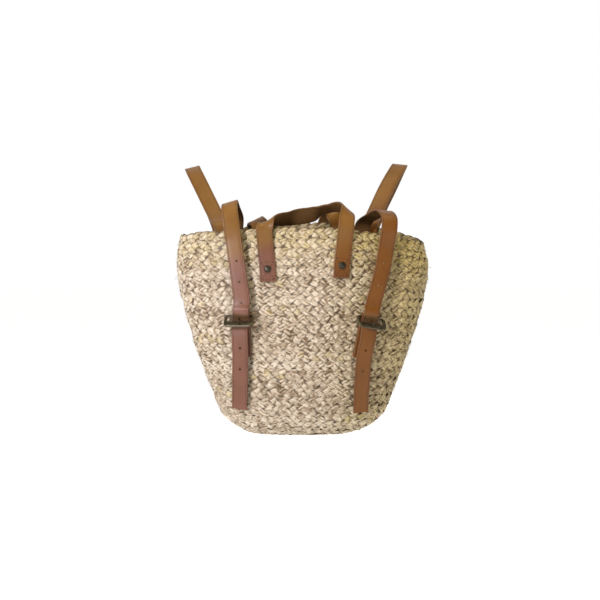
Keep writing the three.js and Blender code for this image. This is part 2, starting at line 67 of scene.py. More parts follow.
def around(points):
    """The way along a closed line: from each point's last neighbour to its next."""
    return np.roll(points, -1, 0) - np.roll(points, 1, 0)


def run_along(points):
    """Distance along a line: the running sum of the steps between its points."""
    return np.concatenate([[0], np.cumsum(np.linalg.norm(np.diff(points, axis=0), axis=1))])


def at_run(where, run, values):
    """Vectors given along a line, read off at other distances, one coordinate at a time."""
    return np.stack([np.interp(where, run, values[:, k]) for k in range(values.shape[1])], -1)


def rings(count, side, up):
    """Circles of radius 1: side times the cosine plus up times the sine of equal steps."""
    turn = turns(count)[:, None]
    return side[..., None, :] * np.cos(turn) + up[..., None, :] * np.sin(turn)


print("four steps round a circle", np.round(turns(4), 2))


# %% Grids and meshes
def grid(points, rows_wrap=False, uv=None, **values):
    """Grid of points (rows, columns, 3) whose columns close on themselves.
    Quads join neighbours; a face closes each end unless the rows wrap too.
    uv gives row and column coordinates, values give one number for each point."""
    rows, columns = points.shape[:2]
    i, j = np.meshgrid(np.arange(rows if rows_wrap else rows - 1), np.arange(columns), indexing="ij")
    i2, j2 = (i + 1) % rows, (j + 1) % columns
    corner = lambda a, b: (a * columns + b).ravel()
    quads = np.stack([corner(i, j), corner(i, j2), corner(i2, j2), corner(i2, j)], -1)
    u, v = uv if uv else (np.arange(rows + 1) / rows, np.arange(columns + 1) / columns)
    u = np.append(u, 2 * u[-1] - u[-2]) if len(u) == rows else u
    where = lambda a, b: np.stack([u[a.ravel()], v[b.ravel()]], -1)
    loops = np.stack([where(i, j), where(i, j + 1), where(i + 1, j + 1), where(i + 1, j)], 1)
    ring = np.arange(columns)
    ends = [] if rows_wrap else [ring[::-1], ring + (rows - 1) * columns]
    flat = {k: np.broadcast_to(x, (rows, columns)).ravel() for k, x in values.items()}
    return {"points": points.reshape(-1, 3), "quads": quads, "ends": ends, "uv": loops, "values": flat}


def make_mesh(name, grids, finish):
    """One mesh of several grids, moved from the maker's millimetres into the frame's metres."""
    starts = np.cumsum([0] + [len(g["points"]) for g in grids])
    points = (np.concatenate([g["points"] for g in grids]) - ORIGIN) / 1000
    quads = np.concatenate([g["quads"] + s for g, s in zip(grids, starts)])
    ends = [end + s for g, s in zip(grids, starts) for end in g["ends"]]
    sizes = np.concatenate([np.full(len(quads), 4), [len(end) for end in ends]]).astype(np.int32)
    corners = np.concatenate([quads.ravel(), *ends]).astype(np.int32)
    uv = np.concatenate([g["uv"].reshape(-1, 2) for g in grids] + [np.zeros((len(e), 2)) for e in ends])
    mesh = bpy.data.meshes.new(name)
    mesh.vertices.add(len(points))
    mesh.vertices.foreach_set("co", points.astype(np.float32).ravel())
    mesh.loops.add(len(corners))
    mesh.loops.foreach_set("vertex_index", corners)
    mesh.polygons.add(len(sizes))
    mesh.polygons.foreach_set("loop_start", np.concatenate([[0], np.cumsum(sizes)[:-1]]).astype(np.int32))
    mesh.polygons.foreach_set("use_smooth", sizes == 4)
    mesh.uv_layers.new(name="along").data.foreach_set("uv", uv.astype(np.float32).ravel())
    for key in grids[0]["values"]:
        numbers = np.concatenate([g["values"][key] for g in grids]).astype(np.float32)
        mesh.attributes.new(key, "FLOAT", "POINT").data.foreach_set("value", numbers)
    mesh.update()
    mesh.validate()
    mesh.materials.append(finish)
    return mesh


def add_piece(name, grids, finish, slot, *nodes):
    """A piece of the bag on the one body, which stands for the named solids."""
    piece = bpy.data.objects.new(name, make_mesh(name, grids, finish))
    bpy.context.scene.collection.objects.link(piece)
    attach(piece, "root")
    if nodes:
        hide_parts(*nodes)
    return piece


print("a grid of 3 rows of 4 points has", len(grid(np.zeros((3, 4, 3)))["quads"]), "quads")

# %% [markdown]
# ## Shader sums in plain Python
# A finish mixes noise, colours and values painted on the mesh. Wrapping a socket in a small class
# lets the sums read as sums: each operator adds a Math node. Everything else comes from one
# method, `node`, which takes the node's type, its settings and what goes into its sockets.


# %% Sockets and finishes
class Wire:
    """An output socket; sums on it add Math nodes to its finish."""

    def __init__(self, finish, socket):
        self.finish, self.socket = finish, socket

    def sum(self, operation, first, second):
        return self.finish.node("ShaderNodeMath", {"operation": operation}, {0: first, 1: second})

    def __add__(self, other):
        return self.sum("ADD", self, other)

    def __sub__(self, other):
        return self.sum("SUBTRACT", self, other)

    def __rsub__(self, other):
        return self.sum("SUBTRACT", other, self)

    def __mul__(self, other):
        return self.sum("MULTIPLY", self, other)

    __radd__ = __add__
    __rmul__ = __mul__


class Finish:
    """A material built node by node; `material` is the finished thing."""

    def __init__(self, name, owner=None):
        self.material = owner or bpy.data.materials.new(name)
        self.material.use_nodes = True
        self.tree = self.material.node_tree
        self.tree.nodes.clear()

    def node(self, kind, settings=None, sockets=None, out=0):
        node = self.tree.nodes.new(kind)
        for key, value in (settings or {}).items():
            if key == "stops":
                ramp = node.color_ramp.elements
                while len(ramp) < len(value):
                    ramp.new(0.5)
                for element, (place, colour) in zip(ramp, value):
                    element.position, element.color = place, (*colour, 1)
            else:
                setattr(node, key, value)
        for key, value in (sockets or {}).items():
            if isinstance(value, Wire):
                self.tree.links.new(value.socket, node.inputs[key])
            else:
                node.inputs[key].default_value = value
        return Wire(self, node.outputs[out]) if node.outputs else None

    def painted(self, *names):
        return [self.node("ShaderNodeAttribute", {"attribute_name": name}, out="Fac") for name in names]

    def place(self, kind="Object"):
        return self.node("ShaderNodeTexCoord", out=kind)

    def axis(self, where, name):
        return self.node("ShaderNodeSeparateXYZ", {}, {0: where}, name)

    def stretch(self, where, scale):
        return self.node("ShaderNodeMapping", {}, {"Vector": where, "Scale": scale})

    def noise(self, where, scale, detail=2.0, rough=0.5):
        sockets = {"Vector": where, "Scale": scale, "Detail": detail, "Roughness": rough}
        return self.node("ShaderNodeTexNoise", {}, sockets)

    def blend(self, factor, first, second):
        colour = lambda c: c if isinstance(c, Wire) else (*c, 1)
        settings = {"data_type": "RGBA", "clamp_factor": True}
        return self.node("ShaderNodeMix", settings, {0: factor, 6: colour(first), 7: colour(second)}, 2)

    def spread(self, value, low, high, to_low=0.0, to_high=1.0):
        sockets = {0: value, 1: low, 2: high, 3: to_low, 4: to_high}
        return self.node("ShaderNodeMapRange", {"clamp": True}, sockets)

    def between(self, noise, low=0.0, high=1.0):
        """Noise mostly lies from 0.3 to 0.7; that is spread over the given range."""
        return self.spread(noise, 0.3, 0.7, low, high)

    def surface(self, colour, roughness, height=None, bump=0.3, deep=0.0004, **fixed):
        sockets = {"Base Color": colour, "Roughness": roughness, **fixed}
        if height is not None:
            relief = {"Strength": bump, "Distance": deep, "Height": height}
            sockets["Normal"] = self.node("ShaderNodeBump", {}, relief)
        shader = self.node("ShaderNodeBsdfPrincipled", {}, sockets)
        self.node("ShaderNodeOutputMaterial", {}, {"Surface": shader})
        return self.material


print("a finish has", *[name for name in vars(Finish) if not name.startswith("_")])

# %% [markdown]
# ## The basket's wall
# The wall is a squashed oval that widens from a small flat base, bellies out and draws in a little
# at the mouth. The rim droops towards both sides, more on the right. A table of sizes with a
# smooth curve through it gives the oval at any height, and a power between a circle's and a
# box's gives its outline.

# %% The wall
RIM_HEIGHT = 283.0
BACK_RIM_RISE, BACK_RIM_TILT = 5.0, 8.0
RIM_DROP_LEFT, RIM_DROP_RIGHT, RIM_DROP_POWER = 9.0, 27.5, 2.1
SECTION_POWER = 2.3
WALL = 5.0
CORNER_RISE = 62.0
BASE = np.array([50.0, 18.0, 14.0])
CORNER = np.array([72.0, 44.0, 36.0])
# height, half width, front depth, back depth
WALL_LEVELS = np.array([
    [47.5, 120, 60.8, 49], [95, 138, 65, 50], [150, 155.5, 66, 48],
    [198, 167.5, 64, 47], [243, 173.5, 60, 46], [283, 168.5, 55, 45]])


def sizes_at(level):
    """Half width, front depth and back depth: a quarter ellipse up from the base, then a cubic
    through the table whose slope at a row is the mean of the slopes on both sides."""
    level = np.asarray(level, float)
    z, v = WALL_LEVELS[:, 0], WALL_LEVELS[:, 1:]
    secant = np.diff(v, axis=0) / np.diff(z)[:, None]
    slope = np.vstack([secant[:1], (secant[1:] + secant[:-1]) / 2, secant[-1:]])
    i = np.clip(np.searchsorted(z, level, side="right") - 1, 0, len(z) - 2)
    h = (z[i + 1] - z[i])[..., None]
    p = np.clip((level[..., None] - z[i][..., None]) / h, 0, 1)
    cubic = ((2 * p**3 - 3 * p**2 + 1) * v[i] + (p**3 - 2 * p**2 + p) * h * slope[i]
             + (3 * p**2 - 2 * p**3) * v[i + 1] + (p**3 - p**2) * h * slope[i + 1])
    sine = 1 - np.clip(level, 0, z[0]) / CORNER_RISE
    corner = BASE + CORNER * np.sqrt(1 - sine**2)[..., None]
    return np.where((level < z[0])[..., None], corner, cubic)


def wall_point(level, angle, inset=0.0):
    """A point of the wall: half sizes times signed powers of cosine and sine, then the rim's droop,
    which grows with the square of the height. Angles run from the right side over the back."""
    level, angle = np.broadcast_arrays(np.asarray(level, float), np.asarray(angle, float))
    power = lambda t: np.sign(t) * np.abs(t) ** (2 / SECTION_POWER)
    cosine, sine = np.cos(angle), np.sin(angle)
    size, above = sizes_at(level), sizes_at(level + 1)
    pick = lambda s: np.where(sine < 0, s[..., 1], s[..., 2])
    side_slope = above[..., 0] - size[..., 0]
    half_width = size[..., 0] - inset / np.hypot(1, side_slope)
    half_depth = pick(size) - inset / np.hypot(1, pick(above) - pick(size))
    x, y = half_width * power(cosine), half_depth * power(sine)
    drop = np.where(x < 0, RIM_DROP_LEFT, RIM_DROP_RIGHT) * np.abs(x / half_width) ** RIM_DROP_POWER
    rise = (BACK_RIM_RISE + BACK_RIM_TILT * x / half_width) * (1 + sine) / 2
    lift = inset * side_slope / np.hypot(1, side_slope)
    return np.stack([x, y, level + lift + (level / RIM_HEIGHT) ** 2 * (rise - drop)], -1)


def row_edges(count, samples=4000):
    """Heights that cut the wall's mean profile into rows of equal length, and that length."""
    height = RIM_HEIGHT * np.linspace(0, 1, samples) ** 2
    reach = sizes_at(height)[:, :2].mean(-1)
    run = np.concatenate([[0], np.cumsum(np.hypot(np.diff(height), np.diff(reach)))])
    return np.interp(np.linspace(0, run[-1], count + 1), run, height), run[-1] / count


BRAID_ROWS = 25
ROW_EDGES, ROW_PITCH = row_edges(BRAID_ROWS)
print("rows of plait", BRAID_ROWS, "each", round(ROW_PITCH, 2), "mm")

# %% [markdown]
# ## Straw
# Dry husk is cream to tan, a little glossy, with fibres along each strip; the gaps get painted brown
# shade. Each strip of a plait has its own tone, so the mesh carries numbers for tone, for how
# yellow it is and for the painted shade where it lies deep or at its edges. Fibres are noise drawn
# out along the strip.

# %% Straw finish
# places on a ramp and their colours, from dark to pale
HUSK_TONES = [(0.0, (0.12, 0.074, 0.040)), (0.3, (0.29, 0.212, 0.135)),
              (0.6, (0.465, 0.38, 0.28)), (1.0, (0.68, 0.60, 0.485))]
GOLD_TONES = [(0.1, (0.125, 0.088, 0.018)), (0.9, (0.55, 0.44, 0.18))]
# painted shade: the dark brown of gaps, deep parts and strip edges
SHADE_BROWN = (0.075, 0.044, 0.021)
# fibres in a centimetre along the strip and in a turn round it
COARSE_FIBRE, FINE_FIBRE = (1.3, 11, 1), (1.5, 34, 1)
FIBRE_CONTRAST, BLOTCH_CONTRAST = 3.6, 0.25


def straw_finish():
    """Tone plus fibres and blotches picks a colour on the husk's and on the gold ramp; yellowness
    mixes the two, and what lies deep or at a strip's edge gets painted brown shade."""
    paint = Finish("plaited_straw")
    tone, yellow, sunk = paint.painted("tone", "yellow", "sunk")
    along = paint.place("UV")
    coarse = paint.noise(paint.stretch(along, COARSE_FIBRE), 1.0, rough=0.55)
    fine = paint.noise(paint.stretch(along, FINE_FIBRE), 1.0, rough=0.6)
    fibre = coarse * 0.8 + fine * 0.2
    blotch = paint.noise(paint.place(), 60.0)
    shade = tone + (fibre - 0.5) * FIBRE_CONTRAST + (blotch - 0.5) * BLOTCH_CONTRAST
    husk, gold = (paint.node("ShaderNodeValToRGB", {"stops": stops}, {0: shade})
                  for stops in (HUSK_TONES, GOLD_TONES))
    colour = paint.blend(yellow, husk, gold)
    # painted shade: deep parts and strip edges turn dark brown
    colour = paint.blend(paint.spread(sunk, 0.3, 1.1, to_high=0.92), colour, SHADE_BROWN)
    rough = paint.between(fibre, 0.38, 0.58)
    return paint.surface(colour, rough, fibre + blotch * 0.3, bump=0.7, deep=0.0009,
                         **{"Specular IOR Level": 0.4})


STRAW = straw_finish()
print("finish", STRAW.name)

# %% [markdown]
# ## The plait
# A flat plait has three strips. Each swings from edge to edge of the row, and bobs over and under
# the others at twice the speed; the three are a third of a turn apart. That is all a plait is, so
# one formula makes every row, inside and outside at once. All rows are in step at the middle of
# the front, where the humps of one row lie in the dips of the next. Slow ripples and a little
# twist keep it from looking machine made.

# %% Ripples and husks
DRAWS = 4096
rng = np.random.default_rng(11)
TONES = rng.normal(0, 1, DRAWS).clip(-2, 2)
CHANCES = rng.random(DRAWS)
# the mean tone of a husk, and how far husks, single leaves and whole rows stray from it
MEAN_TONE, HUSK_STRAY, LEAF_STRAY, ROW_STRAY = 0.65, 0.065, 0.045, 0.06
HUSK_LEAVES = 3
# the chance from which a husk is brown, how dark that is, and the chance up to which it is yellow
BROWN_FROM, BROWN_SHADE, YELLOW_UNTIL = 0.94, 0.5, 0.035
# what the top rows add to the tone, to the chance of yellow and to the yellow of every husk
YELLOW_ROWS, TOP_TONE, TOP_CHANCE, TOP_YELLOW = 4, 0.15, 0.75, 0.42


def ripple(q, waves=(1, 2, 3, 5, 8, 13)):
    """A smooth closed wobble round a row: a few sines with random phases, about -1 to 1."""
    phase = rng.uniform(0, 2 * np.pi, len(waves))
    size = rng.normal(0, 0.45, len(waves))
    return (size * np.sin(2 * np.pi * np.outer(q, waves) + phase)).sum(-1)


def husk_paint(t, row, strip):
    """Tone and yellowness along a strip: one husk lasts a few leaves, some are brown or yellow, and
    its number, with rows and strips far apart, looks up its draws."""
    drawn = lambda table, number: table[number % DRAWS]
    leaf = np.floor((t + np.pi / 4) / np.pi).astype(int)
    husk = leaf // HUSK_LEAVES + row * 977 + strip * 311
    chance = drawn(CHANCES, husk * 7 + 3)
    tone = (MEAN_TONE + HUSK_STRAY * drawn(TONES, husk)
            + LEAF_STRAY * drawn(TONES, leaf + row * 131 + strip * 57))
    tone = np.where(chance > BROWN_FROM, tone * BROWN_SHADE, tone)
    top = max(0, row - BRAID_ROWS + 1 + YELLOW_ROWS) / YELLOW_ROWS
    yellow = np.where(chance < YELLOW_UNTIL + TOP_CHANCE * top,
                      0.2 + 0.4 * drawn(CHANCES, husk), TOP_YELLOW * top)
    return tone + ROW_STRAY * drawn(TONES, row * 389 + 5) + TOP_TONE * top, yellow


print("draws for husks", DRAWS)

# %% One plait
STRIP_WIDTH, STRIP_THICK = 9.2, 1.9
PLAIT_PERIOD, SWING, BOB = 36.0, 4.35, 1.35
STRAIGHTEN = 0.075
STEPS, STRIP_SIDES = 14, 12
# a strip's section, with a crease along the middle and painted shade on its edges
TURN = turns(STRIP_SIDES)
CREASED = np.sin(TURN) * np.where(np.abs(np.cos(TURN)) < 0.1, 0.5, 1.1)
EDGE_SHADE = np.select([np.abs(np.cos(TURN)) > 0.95, np.abs(np.cos(TURN)) > 0.8], [1.0, 0.5], 0.0)
DEEP = 0.35
# how far hand work strays: a row out of the wall and up it, a strip along its row, its swing, its
# twist and its width
STRAY_OUT, STRAY_UP, STRAY_ALONG, STRAY_SWING, STRAY_TWIST, STRAY_WIDTH = 0.55, 0.5, 0.3, 0.06, 0.22, 0.08
# painted warm shade on the right side, darker and more golden: where it starts, how far it takes, and what
# it does to a husk
RIGHT_SHADE_FROM, RIGHT_SHADE_OVER, RIGHT_SHADE_DARKEN, RIGHT_SHADE_YELLOW, MOST_YELLOW = 20.0, 120.0, 0.10, 0.75, 0.95


def plait(outer, rise, out, periods, row, start=0.0):
    """Three strips along a closed row, in step at start: across the row they follow SWING times
    sin t, straightened by a third harmonic, and through it BOB times sin 2t."""
    count = periods * STEPS
    q = np.arange(count) / count
    centre = outer - out * (WALL / 2) + out * (STRAY_OUT * ripple(q))[:, None]
    centre = centre + rise * (STRAY_UP * ripple(q))[:, None]
    right_shade = np.clip((outer[:, 0] - RIGHT_SHADE_FROM) / RIGHT_SHADE_OVER, 0, 1)
    uv = (q * periods * PLAIT_PERIOD / 10, np.arange(STRIP_SIDES + 1) / STRIP_SIDES)
    strips = []
    for strip in range(3):
        t = 2 * np.pi * (periods * (q - start) + strip / 3) + STRAY_ALONG * ripple(q)
        swing = SWING * (1 + STRAY_SWING * ripple(q, (4, 9, 17))) * (np.sin(t) - STRAIGHTEN * np.sin(3 * t))
        bob = np.sin(2 * t)
        line = centre + rise * swing[:, None] + out * (BOB * bob)[:, None]
        ahead = unit(around(line))
        side = unit(np.cross(out, ahead))
        twist = STRAY_TWIST * ripple(q, (17, 41, 67))[:, None]
        side = side * np.cos(twist) + np.cross(ahead, side) * np.sin(twist)
        face = np.cross(ahead, side)
        width = STRIP_WIDTH / 2 * (0.95 + 0.08 * np.abs(bob) + STRAY_WIDTH * ripple(q, (13, 29, 47)))
        across = np.outer(width, np.cos(TURN))[..., None] * side[:, None]
        thick = (STRIP_THICK / 2 * CREASED)[:, None] * face[:, None]
        tone, yellow = husk_paint(t, row, strip)
        # painted warm shade: husks on the right turn darker and yellower
        tone, yellow = tone - RIGHT_SHADE_DARKEN * right_shade, np.minimum(yellow + RIGHT_SHADE_YELLOW * right_shade, MOST_YELLOW)
        # painted shade where a strip dives under the others, and on its edges
        sunk = np.clip(DEEP - np.outer(bob, np.sin(TURN)), 0, 1) + EDGE_SHADE
        strips.append(grid(line[:, None] + across + thick, rows_wrap=True, uv=uv,
                           tone=tone[:, None], yellow=yellow[:, None], sunk=sunk))
    return strips


print("strips", STRIP_WIDTH, "by", STRIP_THICK, "mm, a turn of the plait", PLAIT_PERIOD, "mm")

# %% Rows of plait
SHEET_STEPS, SHEET_OUTER, SHEET_INNER, SHEET_CORNER, SHEET_BELOW_RIM = 96, 2.2, 2.8, 40, 5
BANDS = {"lower": range(0, 11), "middle": range(11, 18), "upper": range(18, BRAID_ROWS)}
BASE_INSETS, LEAST_HALF = (6.3, 15.5), 1.6


def even_angles(low, high, count, samples=2001):
    """Angles that space a row's points evenly along its length, and that length."""
    dense = np.linspace(0, 2 * np.pi, samples)
    run = run_along(wall_point((low + high) / 2, dense))
    return np.interp(np.linspace(0, run[-1], count, endpoint=False), run, dense), run[-1]


def wall_row(row):
    """The plait of one row of the wall, between two of the heights."""
    low, high = ROW_EDGES[row], ROW_EDGES[row + 1]
    periods = round(even_angles(low, high, 8)[1] / PLAIT_PERIOD)
    angle, _ = even_angles(low, high, periods * STEPS)
    outer = wall_point((low + high) / 2, angle)
    rise = (wall_point(high, angle) - wall_point(low, angle)) / ROW_PITCH
    front = np.searchsorted(angle, 1.5 * np.pi) / len(angle)
    return plait(outer, rise, unit(np.cross(around(outer), rise)), periods, row, front)


def base_row(inset, row):
    """A flat ring of plait on the base, a given distance in from its edge."""
    half = np.maximum(BASE - inset, LEAST_HALF)
    length = 4 * half[0] + 2 * half[1:].sum()
    periods = max(3, round(length / PLAIT_PERIOD))
    angle = turns(periods * STEPS)
    depth = np.where(np.sin(angle) < 0, half[1], half[2])
    outer = np.stack([half[0] * np.cos(angle), depth * np.sin(angle), 0 * angle], -1)
    down = np.broadcast_to([0.0, 0.0, -1.0], outer.shape)
    return plait(outer, unit(np.cross(around(outer), down)) * -1, down, periods, row)


def middle_sheet():
    """A thin sheet in the middle of the wall, up its outside and down its inside, painted dark as the
    shade between the strips. It keeps light from passing through the gaps between them."""
    angle = turns(SHEET_STEPS)
    level = np.concatenate([np.linspace(0, 1, 12)[:-1] ** 2 * SHEET_CORNER,
                            np.linspace(SHEET_CORNER, RIM_HEIGHT - SHEET_BELOW_RIM, 24)])
    shrink = lambda k, inset: wall_point(0.0, angle, inset) * [k, k, 1]
    half = lambda inset: ([shrink(0.02, inset), shrink(0.5, inset)]
                          + [wall_point(l, angle, inset) for l in level])
    # painted shade: the whole sheet is dark brown
    return grid(np.array(half(SHEET_OUTER) + half(SHEET_INNER)[::-1]), tone=0.25, yellow=0.0, sunk=0.95)


for band, rows in BANDS.items():
    strips = [strip for row in rows for strip in wall_row(row)]
    if band == "lower":
        strips += [strip for k, inset in enumerate(BASE_INSETS) for strip in base_row(inset, -1 - k)]
        strips.append(middle_sheet())
    piece = add_piece(f"plaited_wall_{band}", strips, STRAW, "straw", "basket")
    print(piece.name, len(piece.data.polygons), "faces")

# %% [markdown]
# ## Loose fibres
# Husk frays, so fine ends stand off the wall here and there. Each is a thin bent sliver with
# three sides; all of them are worked out together and joined into one mesh.

# %% Loose fibres
FIBRES, FIBRE_SLOPE = 420, 0.7
FIBRE_RADII = 0.3 * np.array([1.0, 1.0, 0.9, 0.7, 0.25])


def fibre_grids():
    """Slivers that start on the wall, run up or down the slope of the plait and lift as the square
    of the way along."""
    level = rng.uniform(12, RIM_HEIGHT - 4, FIBRES)
    angle = rng.uniform(0, 2 * np.pi, FIBRES)
    at = wall_point(level, angle)
    along = unit(wall_point(level, angle + 0.01) - wall_point(level, angle - 0.01))
    upward = unit(wall_point(level + 0.5, angle) - wall_point(level - 0.5, angle))
    out = unit(np.cross(along, upward))
    slope = np.where(rng.random(FIBRES) < 0.5, FIBRE_SLOPE, -FIBRE_SLOPE) + rng.normal(0, 0.25, FIBRES)
    ahead = unit(along * np.where(rng.random(FIBRES) < 0.5, 1, -1)[:, None] + upward * slope[:, None])
    side = np.cross(out, ahead)
    way = np.linspace(0, 1, len(FIBRE_RADII))
    length, lift = rng.uniform(6, 15, FIBRES), rng.uniform(0.3, 1.8, FIBRES)
    bend = rng.normal(0, 1.2, FIBRES)
    path = (at[:, None] + ahead[:, None] * (length[:, None] * way)[..., None]
            + out[:, None] * (lift[:, None] * way**2 - 0.2)[..., None]
            + side[:, None] * (bend[:, None] * way**2)[..., None])
    points = path[:, :, None] + rings(3, side, out)[:, None] * FIBRE_RADII[:, None, None]
    tone = rng.uniform(0.5, 0.95, FIBRES)
    return [grid(p, tone=v, yellow=0.15, sunk=0.0) for p, v in zip(points, tone)]


add_piece("loose_fibres", fibre_grids(), STRAW, "straw")
print("loose fibres", FIBRES)

# %% [markdown]
# ## Leather
# Bridle leather has a smooth grain side, burnished darker edges and a rough brown underside. The
# mesh carries how far round the profile a point lies, so one finish can tell the three apart.
# A fine cell pattern gives the grain, and slow noise the uneven dye. Low on the left a rosy
# painted sheen is mixed in, and low on the right painted shade darkens it.

# %% Leather finish
# the darkest and the lightest of each
# tan dye and a rosy painted sheen; painted shade and the suede underside below
TAN, LOW_LEFT_SHEEN = ((0.158, 0.070, 0.010), (0.220, 0.100, 0.017)), ((0.138, 0.053, 0.030), (0.202, 0.082, 0.050))
LOW_RIGHT_SHADE, SUEDE = ((0.128, 0.042, 0.004), (0.186, 0.066, 0.009)), ((0.070, 0.030, 0.006), (0.160, 0.076, 0.014))
THREAD_BROWN = ((0.018, 0.008, 0.004), (0.06, 0.027, 0.012))
# burnished edges, and painted shade where a strap bends over a buckle
BURNISHED, BEND_SHADE_COLOUR = (0.085, 0.031, 0.011), (0.060, 0.028, 0.004)


def leather_finish():
    """Tan dye with a rosy painted sheen low on the left and painted shade low on the right, mixed by
    place in metres; then burnished edges, painted shade on bends and the rough underside.
    """
    paint = Finish("tan_leather")
    under, edge, crease = paint.painted("under", "edge", "crease")
    place = paint.place()
    height, across = paint.axis(place, "Z"), paint.axis(place, "X")
    dye = paint.noise(place, 18.0, detail=3.0)
    tan, sheen_colour, shade_colour = (paint.blend(paint.between(dye), *dyes) for dyes in (TAN, LOW_LEFT_SHEEN, LOW_RIGHT_SHADE))
    right = paint.spread(across, -0.01, 0.03)
    # painted sheen: rosier low on the left; painted shade: darker low on the right
    sheen_mask = paint.spread(height - across * 0.33, -0.084, -0.104) * (1 - right)
    shade_mask = right * paint.spread(across - (height + 0.1) * 1.2, 0.04, 0.085, to_high=0.9)
    dye_with_sheen_and_shade = paint.blend(shade_mask, paint.blend(sheen_mask, tan, sheen_colour), shade_colour)
    nap = paint.noise(place, 700.0, detail=3.0, rough=0.7)
    colour = paint.blend(edge * 0.6, dye_with_sheen_and_shade, BURNISHED)
    # painted shade where the strap bends over a buckle
    colour = paint.blend(crease * 0.85, colour, BEND_SHADE_COLOUR)
    colour = paint.blend(under, colour, paint.blend(nap, *SUEDE))
    rough = paint.between(dye, 0.36, 0.48) + under * 0.35
    cells = {"Vector": place, "Scale": 900.0}
    pore = paint.node("ShaderNodeTexVoronoi", {"feature": "DISTANCE_TO_EDGE"}, cells)
    grain = paint.spread(pore, 0.0, 0.25) * (1 - under) * 0.5 + nap * under
    return paint.surface(colour, rough, grain, bump=0.22, deep=0.00015, **{"Specular IOR Level": 0.42})


def thread_finish():
    """Waxed thread: fine noise for its twist, in colour and relief."""
    paint = Finish("waxed_thread")
    twist = paint.noise(paint.place(), 1500.0)
    colour = paint.blend(twist, *THREAD_BROWN)
    return paint.surface(colour, paint.between(twist, 0.55, 0.75), twist, bump=0.3, deep=0.0001)


LEATHER, THREAD = leather_finish(), thread_finish()
print("finishes", LEATHER.name, THREAD.name)

# %% [markdown]
# ## Straps
# A strap is a flat profile carried along a smooth line through a few places: some lie on the wall
# at a small distance, some hang in the open. The line is a centripetal spline, which doesn't
# overshoot where places lie close together, and the strap's width turns smoothly between them.


# %% Places on the wall
STRAP_STEPS, TUBE_STEPS, TAB_STEPS = 8, 4, 6


def wall_frame(face, inside, x, z):
    """The wall at x and z on the front or back: the point, the way along the row and the way out.
    The level is corrected for the droop until the point lies at z."""
    inset = WALL if inside else 0.0
    level, step = z, 0.02
    for _ in range(12):
        reach = min(1.0, abs(x) / (sizes_at(level)[0] - inset))
        angle = math.acos(np.sign(x) * reach ** (SECTION_POWER / 2)) * (-1 if face == "front" else 1)
        level = level + z - wall_point(level, angle, inset)[2]
    at = wall_point(level, angle, inset)
    along = wall_point(level, angle + step, inset) - wall_point(level, angle - step, inset)
    upward = wall_point(level + 1, angle, inset) - wall_point(level - 1, angle, inset)
    out = unit(np.cross(along, upward)) * (-1 if inside else 1)
    return at, unit(along) * (1 if along[0] > 0 else -1), out


def on_wall(face, inside, x, z, off):
    """A place that stands off the wall and comes to lie at x and z itself."""
    at, across, out = wall_frame(face, inside, x, z)
    for _ in range(4):
        at, across, out = wall_frame(face, inside, x - out[0] * off, z - out[2] * off)
    return at + out * off, across, out


def spline(stations, steps):
    """Centripetal spline through places, with cubic pieces timed by the root of their length.
    Gives points, directions, the turned width direction and the way out of the strap."""
    at = np.array([s[0] for s in stations], float)
    wide = np.array([s[1] for s in stations], float)
    full = np.vstack([2 * at[0] - at[1], at, 2 * at[-1] - at[-2]])
    time = np.sqrt(np.linalg.norm(np.diff(full, axis=0), axis=1))[:, None]
    p0, p1, p2, p3 = full[:-3], full[1:-2], full[2:-1], full[3:]
    t0, t1, t2 = time[:-2], time[1:-1], time[2:]
    m1 = ((p1 - p0) / t0 - (p2 - p0) / (t0 + t1) + (p2 - p1) / t1) * t1
    m2 = ((p2 - p1) / t1 - (p3 - p1) / (t1 + t2) + (p3 - p2) / t2) * t1
    c2, c3 = 3 * (p2 - p1) - 2 * m1 - m2, 2 * (p1 - p2) + m1 + m2
    whole = np.linspace(0, len(at) - 1, (len(at) - 1) * steps + 1)
    i = np.minimum(whole.astype(int), len(at) - 2)
    u = (whole - i)[:, None]
    points = p1[i] + m1[i] * u + c2[i] * u**2 + c3[i] * u**3
    ahead = unit(m1[i] + 2 * c2[i] * u + 3 * c3[i] * u**2)
    ease = u * u * (3 - 2 * u)
    across = wide[i] * (1 - ease) + wide[i + 1] * ease
    across = unit(across - ahead * (across * ahead).sum(-1, keepdims=True))
    return {"at": points, "ahead": ahead, "across": across, "out": np.cross(ahead, across),
            "run": run_along(points)}


print("middle of the front", np.round(on_wall("front", False, 0, RIM_HEIGHT / 2, 0)[0], 1))

# %% The strap's profile
STRAP_WIDTH, STRAP_THICK = 22.0, 2.6
STRAP = STRAP_WIDTH, STRAP_THICK
GROOVE_IN, GROOVE_FLOOR = 2.3, 0.86
EDGE_WIDTH, UNDER_SLOPE, UNDER_FROM = 0.9, 4, 0.6


def strap_profile(width, thick):
    """Half of the grain side from edge to middle as (across, out), mirrored and closed below.
    The edge is round, and a shallow groove runs where the stitches lie."""
    w, h = width / 2, thick / 2
    side = np.array([[w, 0.0], [w - 0.12, 0.55 * h], [w - 0.5, 0.9 * h], [w - 1.2, h],
                     [w - GROOVE_IN, GROOVE_FLOOR * h], [w - GROOVE_IN - 1.1, h], [w * 0.4, 1.05 * h]])
    below = np.array([[w - 0.12, -0.55 * h], [w - 0.5, -0.9 * h], [w - 1.2, -h], [w * 0.4, -h]])
    top = np.vstack([side, [[0, 1.06 * h]], side[::-1] * [-1, 1]])
    return np.vstack([top, below * [-1, 1], [[0, -h]], below[::-1]])


